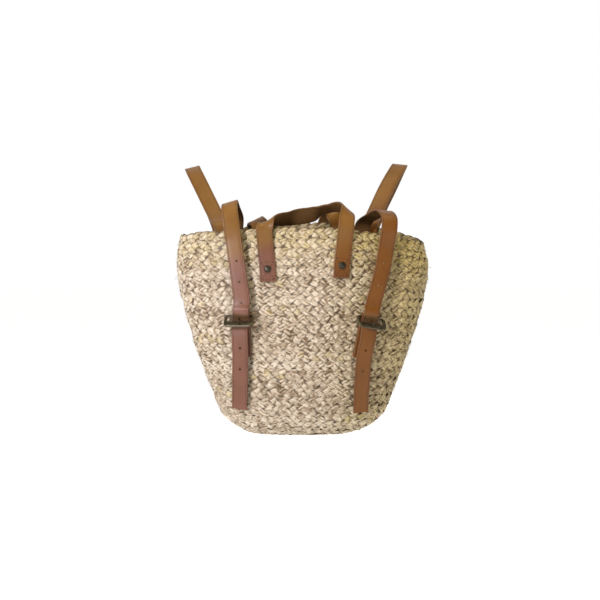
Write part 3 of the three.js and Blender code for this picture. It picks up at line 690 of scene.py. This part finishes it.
def leather_piece(name, line, width, thick, grain, crease=0.0):
    """The profile carried along a line; grain is 1 or -1 for the side that the grain faces, and
    the last argument says where along the line painted shade darkens the strap at a sharp bend."""
    shape = strap_profile(width, thick)
    under = np.clip(-shape[:, 1] / thick * UNDER_SLOPE - UNDER_FROM, 0, 1)
    edge = np.clip(1 - (width / 2 - np.abs(shape[:, 0])) / EDGE_WIDTH, 0, 1)
    shape = shape * [1, grain]
    order = slice(None, None, int(grain))
    points = (line["at"][:, None] + line["across"][:, None] * shape[order, 0, None]
              + line["out"][:, None] * shape[order, 1, None])
    body = grid(points, under=under[order], edge=edge[order], crease=crease)
    return add_piece(f"{name}_leather", [body], LEATHER, "leather", name)


print("points round a strap", len(strap_profile(*STRAP)))

# %% Stitching
STITCH_PITCH, STITCH_LENGTH, STITCH_RADIUS, STITCH_MARGIN, STITCH_SAMPLE = 3.6, 2.2, 0.65, 2.5, 1.5
# along a stitch: the place of each ring, its size and how deep it sinks into the leather
STITCH_RINGS = np.array([[-0.5, 0.5, -0.9], [-0.3, 1.0, -0.35], [0.3, 1.0, -0.35], [0.5, 0.5, -0.9]])


def on_strap(line, run, across, height):
    """Points of a strap at distances along it, across it and out of it, with the way out."""
    at, side, out = (at_run(run, line["run"], line[key]) for key in ("at", "across", "out"))
    out = unit(out)
    return at + unit(side) * across[:, None] + out * height[:, None], out


def stitches(points, out):
    """Short bent capsules end to end along a line: four rings of five points each, all at once."""
    run = run_along(points)
    count = max(1, int(run[-1] / STITCH_PITCH))
    mid = (np.arange(count) + 0.5) * run[-1] / count
    reach, slim, sink = (STITCH_RINGS * [STITCH_LENGTH, STITCH_RADIUS, STITCH_RADIUS]).T
    where = mid[:, None] + reach
    centre, up = at_run(where, run, points), unit(at_run(where, run, out))
    ahead = unit(centre[:, -1] - centre[:, 0])[:, None]
    side = unit(np.cross(up, ahead))
    ring = rings(5, side, np.cross(ahead, side))
    return (centre + up * sink[:, None])[:, :, None] + ring * slim[:, None, None]


def stitching_piece(name, rows):
    """All the stitch lines of one strap, a grid for each capsule."""
    add_piece(f"{name}_stitching", [grid(capsule) for line in rows for capsule in stitches(*line)],
              THREAD, "leather")


def edge_rows(line, width, thick, grain, both=True):
    """Stitch lines along both edges, on the grain side and if asked on the underside."""
    run = np.arange(STITCH_MARGIN, line["run"][-1] - STITCH_MARGIN, STITCH_SAMPLE)
    rows = []
    for side in (1, -1) if both else (1,):
        across = np.full(len(run), width / 2 - GROOVE_IN)
        height = np.full(len(run), (GROOVE_FLOOR if side > 0 else 1.0) * thick / 2 * side * grain)
        for edge in (1, -1):
            points, out = on_strap(line, run, across * edge, height)
            rows.append((points, out * side * grain))
    return rows


print("stitches every", STITCH_PITCH, "mm")

# %% [markdown]
# ## Where each strap runs
# Both straps of a side are riveted inside the back wall. The front strap comes up out of the mouth,
# arches over it, falls down the front, dips through its buckle and ends in a loose tail. The
# shoulder strap leaves over the back rim, makes the loop for an arm and is riveted low on the back.

# %% Tables of places
GAP, INSIDE_GAP, RIVET_SLACK = 0.3, 0.8, 0.6
SHOULDER_OFF = INSIDE_GAP + STRAP_THICK / 2
FRONT_STRAP_OFF = SHOULDER_OFF + STRAP_THICK + RIVET_SLACK
FLAT_OFF = GAP + STRAP_THICK / 2
LEG_STACK = GAP + STRAP_THICK
# on a wall: x, z and distance off it; in the open: x, y, z and sideways tilt in degrees
# rivets: x and z; buckle: x, z, lean in degrees and sideways shift of its tab; holes: heights
SIDES = {
    "left": {
        "anchor": (-98, 238), "foot_rivet": (-82.6, 70), "buckle": (-86.2, 158.5, 0, 3.6),
        "front_inside": [(-99, 222, FRONT_STRAP_OFF), (-96.5, 248, 6), (-93, 272, 10)],
        "front_arch": [(-91.5, 17, 295, 0), (-97, -12, 309.5, 10), (-101, -37, 318, 17),
                       (-102, -51, 311, 13), (-100, -58.5, 291, 5)],
        "front_wall": [(-97, 268, 11), (-93.1, 240.5, 11), (-89.2, 212.5, 12), (-86.6, 185, 13.4)],
        "tail": [(-88.4, 98, 8), (-88.7, 69, 6), (-89, 41, 5)],
        "holes": [240.7, 212.8, 184.9, 124.8, 96.5],
        "shoulder_inside": [(-97, 222, SHOULDER_OFF), (-101, 248, SHOULDER_OFF), (-106, 268, 4.4)],
        "shoulder_loop": [
            (-111.5, 32, 287.5, 5), (-116.5, 46, 297, 9), (-123, 62, 309.5, 14), (-137, 93, 339, 14),
            (-147.5, 118, 361, 14), (-150.5, 136, 368, 14), (-147.5, 158, 361.5, 14),
            (-136, 184, 339, 14), (-119, 197, 304, 13), (-107, 197, 268, 12), (-99, 182, 212, 11),
            (-92, 146, 158, 9), (-87, 95, 121, 5)],
        "foot": [(-84, 97, 4.5), (-83, 80, 1.9), (-82, 56, FLAT_OFF)],
    },
    "right": {
        "anchor": (85, 238), "foot_rivet": (82.6, 70), "buckle": (82.4, 155, -9, -3.6),
        "front_inside": [(85.5, 222, FRONT_STRAP_OFF), (84.5, 248, 6), (83, 272, 10)],
        "front_arch": [(85.5, 18, 289, 0), (95, -10, 299.5, -4), (107, -36, 306.5, -6),
                       (112.5, -52, 298.5, -9), (112, -58, 283, -10)],
        "front_wall": [(108, 260, 11), (103.6, 235, 11), (96.3, 207.6, 12), (88.6, 181, 13.4)],
        "tail": [(76, 96, 8), (74.8, 65, 6), (74.4, 35.5, 5)],
        "holes": [237.5, 207.6, 180.6, 120.8, 92.7],
        "shoulder_inside": [(84, 222, SHOULDER_OFF), (88, 248, SHOULDER_OFF), (93, 269, 4.6)],
        "shoulder_loop": [
            (96.5, 34, 290, -3), (102, 48, 298, -4), (108.5, 62, 308, -5), (127, 93, 339.5, -5),
            (144, 118, 364, -5), (151.5, 134, 372.5, -5), (150.5, 155, 364.5, -7),
            (142.5, 183, 339.5, -9), (127, 197, 303.5, -11), (114, 197, 268, -11), (103, 182, 212, -11),
            (94, 146, 158, -9), (87, 95, 121, -5)],
        "foot": [(84, 97, 4.5), (83, 80, 1.9), (82, 56, FLAT_OFF)],
    },
}


def turned(degrees):
    """Cosine and sine of an angle."""
    return math.cos(math.radians(degrees)), math.sin(math.radians(degrees))


def wall_stations(rows, face, inside):
    """Places on a wall, with the strap's width along the row of plait."""
    return [on_wall(face, inside, *row)[:2] for row in rows]


def tilted_stations(rows):
    """Places in the open, with the strap's width turned up by the tilt."""
    tilts = [turned(row[3]) for row in rows]
    return [(row[:3], (cosine, 0, sine)) for row, (cosine, sine) in zip(rows, tilts)]


print("each side has", *SIDES["left"])

# %% [markdown]
# ## Buckles
# Each buckle is a flat frame with a broad bar over the strap and a thin bar below, where a folded
# tab holds it to the basket and a prong turns. Everything of one buckle is placed in its own
# small frame on the wall: x across, y up, z out.

# %% Buckle sizes
FRAME_WIDTH, FRONT_BAR, SIDE_BAR, HEEL_BAR, FRAME_OPEN, FRAME_THICK = 41.0, 9.5, 4.5, 2.7, 9.8, 3.4
FRAME_REACH = FRONT_BAR / 2 + FRAME_OPEN + HEEL_BAR / 2
HEEL_RISE, HEEL_OUT, HEEL_WRAP = 9.5, 5.2, 2.5
FRAME_OUT = math.sqrt(FRAME_REACH**2 - HEEL_RISE**2)
TAB_THICK, TAB_END, TAB_RIVET_DROP = 2.0, -46.0, 36.0
TAB = 20.0, TAB_THICK
PRONG_RADIUS = 1.1
# how the strap passes: height over the front bar, distance out and share of the tab's shift
THROUGH_BUCKLE = [(19, 14.1, 0.8), (14.5, 14.2, 0.8), (11, 13.6, 0.7), (7, 11.1, 0.5),
                  (2, 9.4, 0.2), (-7, 9, 0), (-20, 10.2, 0), (-41, 9.8, 0)]


def place_on_wall(face, x, z, lean=0.0):
    """A frame on the wall as an origin and three directions, turned by lean degrees."""
    at, across, out = on_wall(face, False, x, z, 0)
    up = np.cross(out, across)
    c, s = turned(lean)
    return at, np.array([across * c + up * s, up * c - across * s, out])


def into(place, points):
    """Points of a small frame in the bag's own frame."""
    origin, axes = place
    return origin + np.asarray(points, float) @ axes


def buckle_place(side):
    """Where the tab's rivet sits, and the buckle's frame, which lies flat on the wall there."""
    x, z, lean, shift = SIDES[side]["buckle"]
    c, s = turned(lean)
    rivet = (x + shift * c + TAB_RIVET_DROP * s, z + shift * s - TAB_RIVET_DROP * c)
    at, axes = place_on_wall("front", *rivet, lean)
    return rivet, (at - axes[0] * shift + axes[1] * TAB_RIVET_DROP, axes)


print("buckle", FRAME_WIDTH, "mm wide, its bars", round(FRAME_REACH, 1), "mm apart")


# %% Strap lines
def front_line(side):
    """From the rivet inside, over the mouth, down the front, through the buckle and down the tail."""
    route, (_, place) = SIDES[side], buckle_place(side)
    shift = route["buckle"][3]
    through = [(into(place, [beside * shift, up, out]), place[1][0]) for up, out, beside in THROUGH_BUCKLE]
    return spline(wall_stations(route["front_inside"], "back", True) + tilted_stations(route["front_arch"])
                  + wall_stations(route["front_wall"], "front", False) + through
                  + wall_stations(route["tail"], "front", False), STRAP_STEPS)


def shoulder_line(side):
    """From the rivet inside, over the back rim, round the arm's loop and down to the foot."""
    route = SIDES[side]
    return spline(wall_stations(route["shoulder_inside"], "back", True)
                  + tilted_stations(route["shoulder_loop"])
                  + wall_stations(route["foot"], "back", False), STRAP_STEPS)


print("points along a front strap", len(front_line("left")["at"]))


# %% The prong's line
def beside_frame(along, off):
    """Height and distance out of places along the frame's plane, from the heel bar to the front
    bar, and off that plane: the frame hangs out and down from its heel."""
    return (HEEL_RISE + (FRAME_OUT * off - HEEL_RISE * along) / FRAME_REACH,
            HEEL_OUT + (FRAME_OUT * along + HEEL_RISE * off) / FRAME_REACH)


def prong_points(place):
    """The prong's line: a curl round the heel bar, then on to the front bar."""
    radius = HEEL_WRAP + PRONG_RADIUS
    angle = np.radians([100, 45, -10, -65, -120])
    seat = FRAME_THICK / 2 + GAP + PRONG_RADIUS
    along = np.concatenate([-radius * np.cos(angle), [4.6, 7.2, 8.8, 11.2, 18.5]])
    off = np.concatenate([radius * np.sin(angle), [-1.6, 0.3, 2.4, seat + 0.1, seat + 0.5]])
    return into(place, np.column_stack([np.zeros(len(along)), *beside_frame(along, off)]))


def tube_grid(points, across, radius, sides=12, **values):
    """A round tube along a spline through points; radius may change along it."""
    line = spline([(p, across) for p in points], TUBE_STEPS)
    radius = np.interp(line["run"] / line["run"][-1], np.linspace(0, 1, len(radius)), radius)
    ring = rings(sides, line["across"], line["out"])
    return grid(line["at"][:, None] + ring * radius[:, None, None], **values)


print("places along a prong", len(prong_points(buckle_place("left")[1])))

# %% [markdown]
# ## Punched holes
# The front straps have a row of small holes, and the prong passes through one more. A Boolean
# modifier cuts them cleanly from the finished strap; it is applied at once, so that only plain
# mesh is left.

# %% Holes
HOLE_RADIUS, HOLE_REACH, HOLE_SIDES, SLIT_SLACK = 1.4, 4.0, 16, 0.4
FRONT_STRETCH = -30
SHARP = math.radians(50)


def hole_grids(line, heights):
    """Short round rods through the strap at given heights on its front stretch."""
    front = np.flatnonzero(line["at"][:, 1] < FRONT_STRETCH)
    rods = []
    for height in heights:
        k = front[np.argmin(np.abs(line["at"][front, 2] - height))]
        centre = line["at"][k] + line["ahead"][k] * (height - line["at"][k, 2]) / line["ahead"][k, 2]
        ring = rings(HOLE_SIDES, line["across"][k], line["ahead"][k])
        ends = line["out"][k] * np.array([HOLE_REACH, -HOLE_REACH])[:, None, None]
        rods.append(grid(centre + ring * HOLE_RADIUS + ends, under=0.0, edge=1.0))
    return rods


def slit_grid(place):
    """A tube a little thicker than the prong, along the same line."""
    return tube_grid(prong_points(place), place[1][0], [PRONG_RADIUS + SLIT_SLACK] * 2, under=0.0, edge=1.0)


def cut_holes(piece, rods):
    """Cuts the rods out of a piece with a Boolean modifier, then keeps only the plain mesh."""
    cutter = bpy.data.objects.new("punch", make_mesh("punch", rods, LEATHER))
    bpy.context.scene.collection.objects.link(cutter)
    boolean = piece.modifiers.new("holes", "BOOLEAN")
    boolean.object, boolean.operation, boolean.solver = cutter, "DIFFERENCE", "EXACT"
    graph = bpy.context.evaluated_depsgraph_get()
    mesh = bpy.data.meshes.new_from_object(piece.evaluated_get(graph))
    piece.modifiers.clear()
    old, piece.data = piece.data, mesh
    mesh.name = piece.name
    mesh.set_sharp_from_angle(angle=SHARP)
    bpy.data.objects.remove(cutter)
    bpy.data.meshes.remove(old)


print("holes", 2 * HOLE_RADIUS, "mm across")

# %% Front straps and shoulder straps
# painted shade on the bend over a buckle: its top and foot above the front bar, and how soft each is
BEND_TOP, BEND_FOOT, TOP_SOFT, FOOT_SOFT = 14.0, 0.0, 1.5, 2.0
for side in SIDES:
    line = front_line(side)
    _, place = buckle_place(side)
    up = (line["at"] - place[0]) @ place[1][1]
    bend = np.clip((BEND_TOP - up) / TOP_SOFT, 0, 1) * np.clip((up - BEND_FOOT) / FOOT_SOFT, 0, 1)
    strap = leather_piece(f"front_strap_{side}", line, *STRAP, 1, bend[:, None])
    cut_holes(strap, hole_grids(line, SIDES[side]["holes"]) + [slit_grid(place)])
    stitching_piece(f"front_strap_{side}", edge_rows(line, *STRAP, 1))
    loop = shoulder_line(side)
    leather_piece(f"shoulder_strap_{side}", loop, *STRAP, -1)
    stitching_piece(f"shoulder_strap_{side}", edge_rows(loop, *STRAP, -1))
    print(side, "front strap", round(line["run"][-1]), "mm, shoulder strap", round(loop["run"][-1]), "mm")

# %% [markdown]
# ## Handles
# The two handles are the same leather, riveted flat to the wall at both ends. Between the ends the
# strap stands up and folds over at each corner, so its rough side shows. Each end has a sewn box
# with a cross through the rivet.

# %% Handles
# legs: x, z and distance off the wall; middle: x, y, z and the direction of the strap's width
HANDLES = {
    "front_handle": {
        "face": "front", "grain": -1, "rivets": {"left": (-51.5, 229.5), "right": (47.9, 234)},
        "left": [(-51.2, 213, FLAT_OFF), (-51.6, 232, FLAT_OFF), (-53.6, 252, FLAT_OFF), (-55, 268, 2.6)],
        "middle": [((-55.5, -60.5, 285), (1, 0, 0.05)), ((-46, -49, 296), (0.62, -0.6, 0.5)),
                   ((-28, -32, 296), (0.05, -0.6, 0.8)), ((-5, -20, 299.5), (0, -0.12, 1)),
                   ((11, -15.5, 302), (0, -0.3, 0.95)), ((24, -14, 307.5), (-0.03, -0.8, 0.6)),
                   ((39, -16.5, 311), (-0.17, -0.85, 0.45)),
                   ((56.5, -42, 309.5), (-0.73, -0.2, 0.64)), ((54.5, -57.5, 292), (-1, -0.1, 0.1))],
        "right": [(52, 268, 2.6), (50, 252, FLAT_OFF), (48, 236, FLAT_OFF), (47, 217.5, FLAT_OFF)],
    },
    "back_handle": {
        "face": "back", "grain": 1, "rivets": {"left": (-60.4, 231), "right": (36.1, 231)},
        "left": [(-60, 216, FLAT_OFF), (-60.5, 235, FLAT_OFF), (-61.5, 255, FLAT_OFF), (-63, 271, 2.6)],
        "middle": [((-64.5, 48.5, 285), (1, 0, 0.3)), ((-63.5, 36, 293.5), (0.9, 0, 0.44)),
                   ((-57, 22, 288), (0.85, -0.35, 0.3)), ((-42, 8, 272), (0.4, -0.9, 0)),
                   ((-12, 3, 263), (0, -1, 0)), ((18, 4, 266), (-0.1, -1, 0)),
                   ((47, 21, 270), (-0.6, -0.8, 0)), ((50.5, 31, 284), (-0.88, -0.42, -0.15)),
                   ((43, 39, 303.5), (-0.95, -0.2, -0.22)), ((35.5, 48.5, 290), (-1, -0.05, 0))],
        "right": [(35.5, 273, 2.6), (35.5, 256, FLAT_OFF), (36, 236, FLAT_OFF), (36.5, 216, FLAT_OFF)],
    },
}
BOX_LENGTH, BOX_STEPS, BOX_LIFT = 26.0, 30, 1.04


def handle_line(handle):
    """Up the left leg, over the middle and down the right leg, where the width has turned round."""
    flipped = [(at, -across) for at, across in wall_stations(handle["right"], handle["face"], False)]
    middle = [(at, unit(np.array(across, float))) for at, across in handle["middle"]]
    return spline(wall_stations(handle["left"], handle["face"], False) + middle + flipped, STRAP_STEPS)


def box_rows(line, grain, at_end):
    """A sewn box and cross at one end of a strap: four short stitch lines on the grain side, between
    the lines along the edges."""
    w = STRAP_WIDTH / 2 - GROOVE_IN
    corner = [(STITCH_MARGIN, -w), (STITCH_MARGIN, w), (BOX_LENGTH, w), (BOX_LENGTH, -w)]
    height = np.full(BOX_STEPS, BOX_LIFT * STRAP_THICK / 2 * grain)
    rows = []
    for a, b in [(0, 1), (2, 3), (0, 2), (1, 3)]:
        run, across = (np.linspace(corner[a][k], corner[b][k], BOX_STEPS) for k in range(2))
        run = line["run"][-1] - run if at_end else run
        points, out = on_strap(line, run, across, height)
        rows.append((points, out * grain))
    return rows


for name, handle in HANDLES.items():
    line, grain = handle_line(handle), handle["grain"]
    leather_piece(name, line, *STRAP, grain)
    boxes = box_rows(line, grain, False) + box_rows(line, grain, True)
    stitching_piece(name, edge_rows(line, *STRAP, grain) + boxes)
    print(name, round(line["run"][-1]), "mm")

# %% [markdown]
# ## Old brass
# The fittings are plated and darkened, then rubbed bright on their edges by use. The mesh carries
# how exposed each point is, and noise breaks the dark coat up.

# %% Old brass finish
DULL, RUBBED = (0.052, 0.046, 0.034), (0.235, 0.21, 0.155)


def brass_finish():
    """Exposure plus noise tells the dull coat from the rubbed metal."""
    paint = Finish("old_brass")
    worn, = paint.painted("worn")
    coat = paint.noise(paint.place(), 260.0, detail=4.0, rough=0.65)
    rub = paint.spread(worn + (coat - 0.5) * 0.9, 0.35, 1.0)
    rough = paint.between(coat, 0.34, 0.52)
    return paint.surface(paint.blend(rub, DULL, RUBBED), rough, coat, bump=0.08, deep=0.0002, Metallic=1.0)


BRASS = brass_finish()
print("finish", BRASS.name)


def metal_piece(name, body):
    """A brass piece, which stands for the solid of that name."""
    add_piece(f"{name}_metal", [body], BRASS, "old_brass", name)


# %% Rivets
RIVET_CAP, RIVET_DOME, RIVET_SHANK, RIVET_BACK, RIVET_BACK_THICK = 5.0, 2.0, 2.0, 4.5, 1.2
DOME_RADIUS, DOME_FOOT, RIM_RADIUS, RIVET_SIDES = 4.1, 0.75, 4.6, 32
INNER_STACK = FRONT_STRAP_OFF + STRAP_THICK / 2
TAB_STACK = 2 * (GAP + TAB_THICK)


def rivet_grid(place, outer_stack, inner_stack):
    """A turned profile swept round the rivet's axis: a flat cap behind, the shank and a low dome
    with a rolled rim in front."""
    outer, inner = outer_stack + RIVET_SLACK, -WALL - inner_stack - RIVET_SLACK
    rise = np.radians(np.linspace(0, 88, 9))
    dome = np.column_stack([DOME_RADIUS * np.cos(rise),
                            outer + DOME_FOOT + (RIVET_DOME - DOME_FOOT) * np.sin(rise)])
    back = [[0.05, inner - RIVET_BACK_THICK], [3.9, inner - RIVET_BACK_THICK], [RIVET_BACK, inner - 0.7],
            [RIVET_BACK, inner], [RIVET_SHANK, inner], [RIVET_SHANK, outer], [RIM_RADIUS, outer],
            [RIVET_CAP, outer + 0.35], [4.9, outer + 0.75], [4.5, outer + 0.95], [4.2, outer + 0.8]]
    shape = np.vstack([back, dome])
    turn = turns(RIVET_SIDES)
    ring = np.stack([np.outer(shape[:, 0], np.cos(turn)), np.outer(shape[:, 0], np.sin(turn)),
                     np.repeat(shape[:, 1:], RIVET_SIDES, 1)], -1)
    on_rim = np.abs(shape[:, 0] - RIM_RADIUS) < 0.3
    worn = np.clip((shape[:, 1] - outer) / RIVET_DOME, 0, 1) * 0.5 + 0.35 * on_rim
    return grid(into(place, ring), worn=worn[:, None])


# face, place on it, leather under the dome and leather under the cap
RIVETS = {f"{name}_rivet_{side}": (h["face"], h["rivets"][side], LEG_STACK, 0)
          for name, h in HANDLES.items() for side in SIDES}
for side, route in SIDES.items():
    RIVETS[f"strap_top_rivet_{side}"] = ("back", route["anchor"], 0, INNER_STACK)
    RIVETS[f"strap_foot_rivet_{side}"] = ("back", route["foot_rivet"], LEG_STACK, 0)
    RIVETS[f"buckle_tab_rivet_{side}"] = ("front", buckle_place(side)[0], TAB_STACK, 0)
for name, (face, spot, outer_stack, inner_stack) in RIVETS.items():
    metal_piece(name, rivet_grid(place_on_wall(face, *spot), outer_stack, inner_stack))
print("rivets", len(RIVETS))

# %% Buckle frames, prongs and tabs
FRAME_STEPS, FRAME_SIDES = 120, 14
# powers that make an oblong and a bar's section out of a circle
OBLONG, BAR = 0.3, 0.7
PRONG_RADII = PRONG_RADIUS * np.array([1.0] * 6 + [0.85, 0.6])


def frame_grid(place, samples=4001):
    """The frame's middle line is a rounded oblong, cos and sin to a small power, spaced evenly;
    its section is a rounded bar whose width changes from the thin lower bar to the broad front one."""
    half, tall = (FRAME_WIDTH - SIDE_BAR) / 2, FRAME_REACH / 2
    power = lambda v, p: np.sign(v) * np.abs(v) ** p
    dense = np.linspace(0, 2 * np.pi, samples)
    line = np.stack([half * power(np.cos(dense), OBLONG), tall * power(np.sin(dense), OBLONG)], -1)
    run = run_along(line)
    line = at_run(np.linspace(0, run[-1], FRAME_STEPS, endpoint=False), run, line)
    ahead = unit(around(line))
    outward = np.stack([ahead[:, 1], -ahead[:, 0]], -1)
    lying = np.abs(ahead[:, 0]) ** 2
    bar = np.where(line[:, 1] > 0, FRONT_BAR, HEEL_BAR) * lying + SIDE_BAR * (1 - lying)
    turn = turns(FRAME_SIDES)
    wide = np.outer(bar / 2, power(np.cos(turn), BAR))
    flat = line[:, None] + outward[:, None] * wide[..., None]
    high = np.broadcast_to(power(np.sin(turn), BAR) * FRAME_THICK / 2, wide.shape)
    local = np.stack([flat[..., 0], *beside_frame(flat[..., 1] + tall, high)], -1)
    worn = (0.34 + 0.34 * np.abs(np.cos(turn))) * np.ones((len(line), 1))
    return grid(into(place, local)[:, ::-1], rows_wrap=True, worn=worn[:, ::-1])


def tab_line(place, shift):
    """The tab's line: up the wall, round the heel bar and back down over itself."""
    radius = HEEL_WRAP + TAB_THICK / 2
    low = GAP + TAB_THICK / 2
    top = low + TAB_THICK + GAP
    angle = np.radians([-90, -45, 0, 45, 90])
    bend = np.stack([HEEL_RISE + radius * np.cos(angle), HEEL_OUT + radius * np.sin(angle)], -1)
    back = [[TAB_END, low], [TAB_END + 15, low], [HEEL_RISE - 9, low + 0.1]]
    front = [[HEEL_RISE - 9, top + 1.8], [HEEL_RISE - 20, top + 0.2], [TAB_END + 15, top], [TAB_END, top]]
    flat = np.vstack([back, bend, front])
    points = into(place, np.column_stack([np.full(len(flat), shift), flat]))
    return spline([(p, place[1][0]) for p in points], TAB_STEPS)


for side in SIDES:
    _, place = buckle_place(side)
    metal_piece(f"buckle_frame_{side}", frame_grid(place))
    metal_piece(f"buckle_prong_{side}", tube_grid(prong_points(place), place[1][0], PRONG_RADII, worn=0.6))
    line = tab_line(place, SIDES[side]["buckle"][3])
    cut_holes(leather_piece(f"buckle_tab_{side}", line, *TAB, 1), [slit_grid(place)])
    stitching_piece(f"buckle_tab_{side}", edge_rows(line, *TAB, 1, both=False))
    print("buckle", side, "at", np.round(place[0], 1))

# %% [markdown]
# ## Floor, light and camera
# The bag hangs in a white studio. A small bright lamp, nearly white, stands at the left front, so
# the straps throw shadows. A weak warm one at the right and one above turn the rim and the tops of
# the straps golden. The surroundings are white behind and low down and dimmer in front, which
# leaves the shadows dark. The floor glows behind the bag and far off, so it meets the white
# without a hard horizon. The camera stands a little to the left and above, as in the picture.

# %% Floor
FLOOR_DROP, FLOOR_REACH, FLOOR_GLOW = 0.62, 8, 0.6
FLOOR_TONES = ((0.80, 0.80, 0.795), (0.84, 0.84, 0.835))
BACKDROP, NEAR_GLOW = (1.0, 1.0, 0.998), (0.35, 0.35, 0.348)


def stage_floor():
    """A wide pale plane: matte, with a glow that is weak in front and full behind and far off."""
    paint = Finish("studio_floor")
    place = paint.place()
    grainy = paint.noise(place, 4.0)
    away = paint.node("ShaderNodeVectorMath", {"operation": "LENGTH"}, {0: place}, "Value")
    far = paint.spread(paint.axis(place, "Y"), -0.5, 0.3) + paint.spread(away, 1.5, 4.5)
    glow = {"Emission Color": paint.blend(far, NEAR_GLOW, BACKDROP), "Emission Strength": FLOOR_GLOW}
    rough = paint.spread(grainy, 0.0, 1.0, to_low=0.7, to_high=0.8)
    matte = paint.surface(paint.blend(grainy, *FLOOR_TONES), rough, **glow)
    mesh = bpy.data.meshes.new("studio_floor")
    corners = [(-1, -1), (1, -1), (1, 1), (-1, 1)]
    points = [(x * FLOOR_REACH, y * FLOOR_REACH, -FLOOR_DROP) for x, y in corners]
    mesh.from_pydata(points, [], [(0, 1, 2, 3)])
    mesh.materials.append(matte)
    floor = bpy.data.objects.new("studio_floor", mesh)
    bpy.context.scene.collection.objects.link(floor)


stage_floor()
print("floor", FLOOR_DROP, "m below the shoulders")

# %% Lamps and surroundings
MIDDLE = Vector((-0.004, -0.130, -0.1855))
# place, size, power and colour
LAMPS = {
    "key": ((-1.35, -1.85, 0.55), 0.4, 43, (1.0, 0.95, 0.98)),
    "fill": ((2.1, -0.6, 0.3), 1.0, 6.0, (1.0, 0.74, 0.32)),
    "top": ((0.1, -0.6, 1.5), 0.9, 13, (1.0, 0.82, 0.46)),
}
ROOM_LEFT, ROOM_RIGHT = (0.09, 0.087, 0.092), (0.06, 0.046, 0.024)


def lamp(name, place, size, power, colour):
    """A round lamp that looks at the middle of the bag."""
    light = bpy.data.lights.new(name, "AREA")
    light.shape, light.size, light.energy, light.color = "DISK", size, power, colour
    holder = bpy.data.objects.new(name, light)
    holder.location = place
    holder.rotation_euler = (MIDDLE - Vector(place)).to_track_quat("-Z", "Y").to_euler()
    bpy.context.scene.collection.objects.link(holder)


def studio_room():
    """The surroundings by direction: white low down all round and behind the bag, and a dimmer room
    above and in front of it that is cool on the left and warm on the right."""
    room = Finish("studio", bpy.data.worlds.new("studio"))
    across, ahead, upward = (room.axis(room.place("Generated"), name) for name in "XYZ")
    front = room.blend(room.spread(across, -0.5, 0.7), ROOM_LEFT, ROOM_RIGHT)
    above = room.blend(room.spread(ahead, -0.1, 0.5), front, BACKDROP)
    colour = room.blend(room.spread(upward, 0.02, 0.12), BACKDROP, above)
    glow = room.node("ShaderNodeBackground", {}, {"Color": colour, "Strength": 1.0})
    room.node("ShaderNodeOutputWorld", {}, {"Surface": glow})
    return room.material


for name, facts in LAMPS.items():
    lamp(name, *facts)
bpy.context.scene.world = studio_room()
bpy.context.scene.view_settings.view_transform = "Standard"
print("lamps", *LAMPS)

# %% Camera
AZIMUTH, ELEVATION, DISTANCE, FIELD = -4.0, 3.5, 2.2, 0.825
(level, lift), (ahead, aside) = turned(ELEVATION), turned(AZIMUTH)
back = Vector((aside * level, -ahead * level, lift))
camera = bpy.data.objects.new("camera", bpy.data.cameras.new("camera"))
camera.data.angle = 2 * math.atan(FIELD / 2 / DISTANCE)
camera.data.clip_start = 0.05
camera.location = MIDDLE + DISTANCE * back
camera.rotation_euler = (-back).to_track_quat("-Z", "Y").to_euler()
bpy.context.scene.collection.objects.link(camera)
bpy.context.scene.camera = camera
print("camera at", [round(v, 3) for v in camera.location])

# %% [markdown]
# The visual model has to keep the packed model's size.
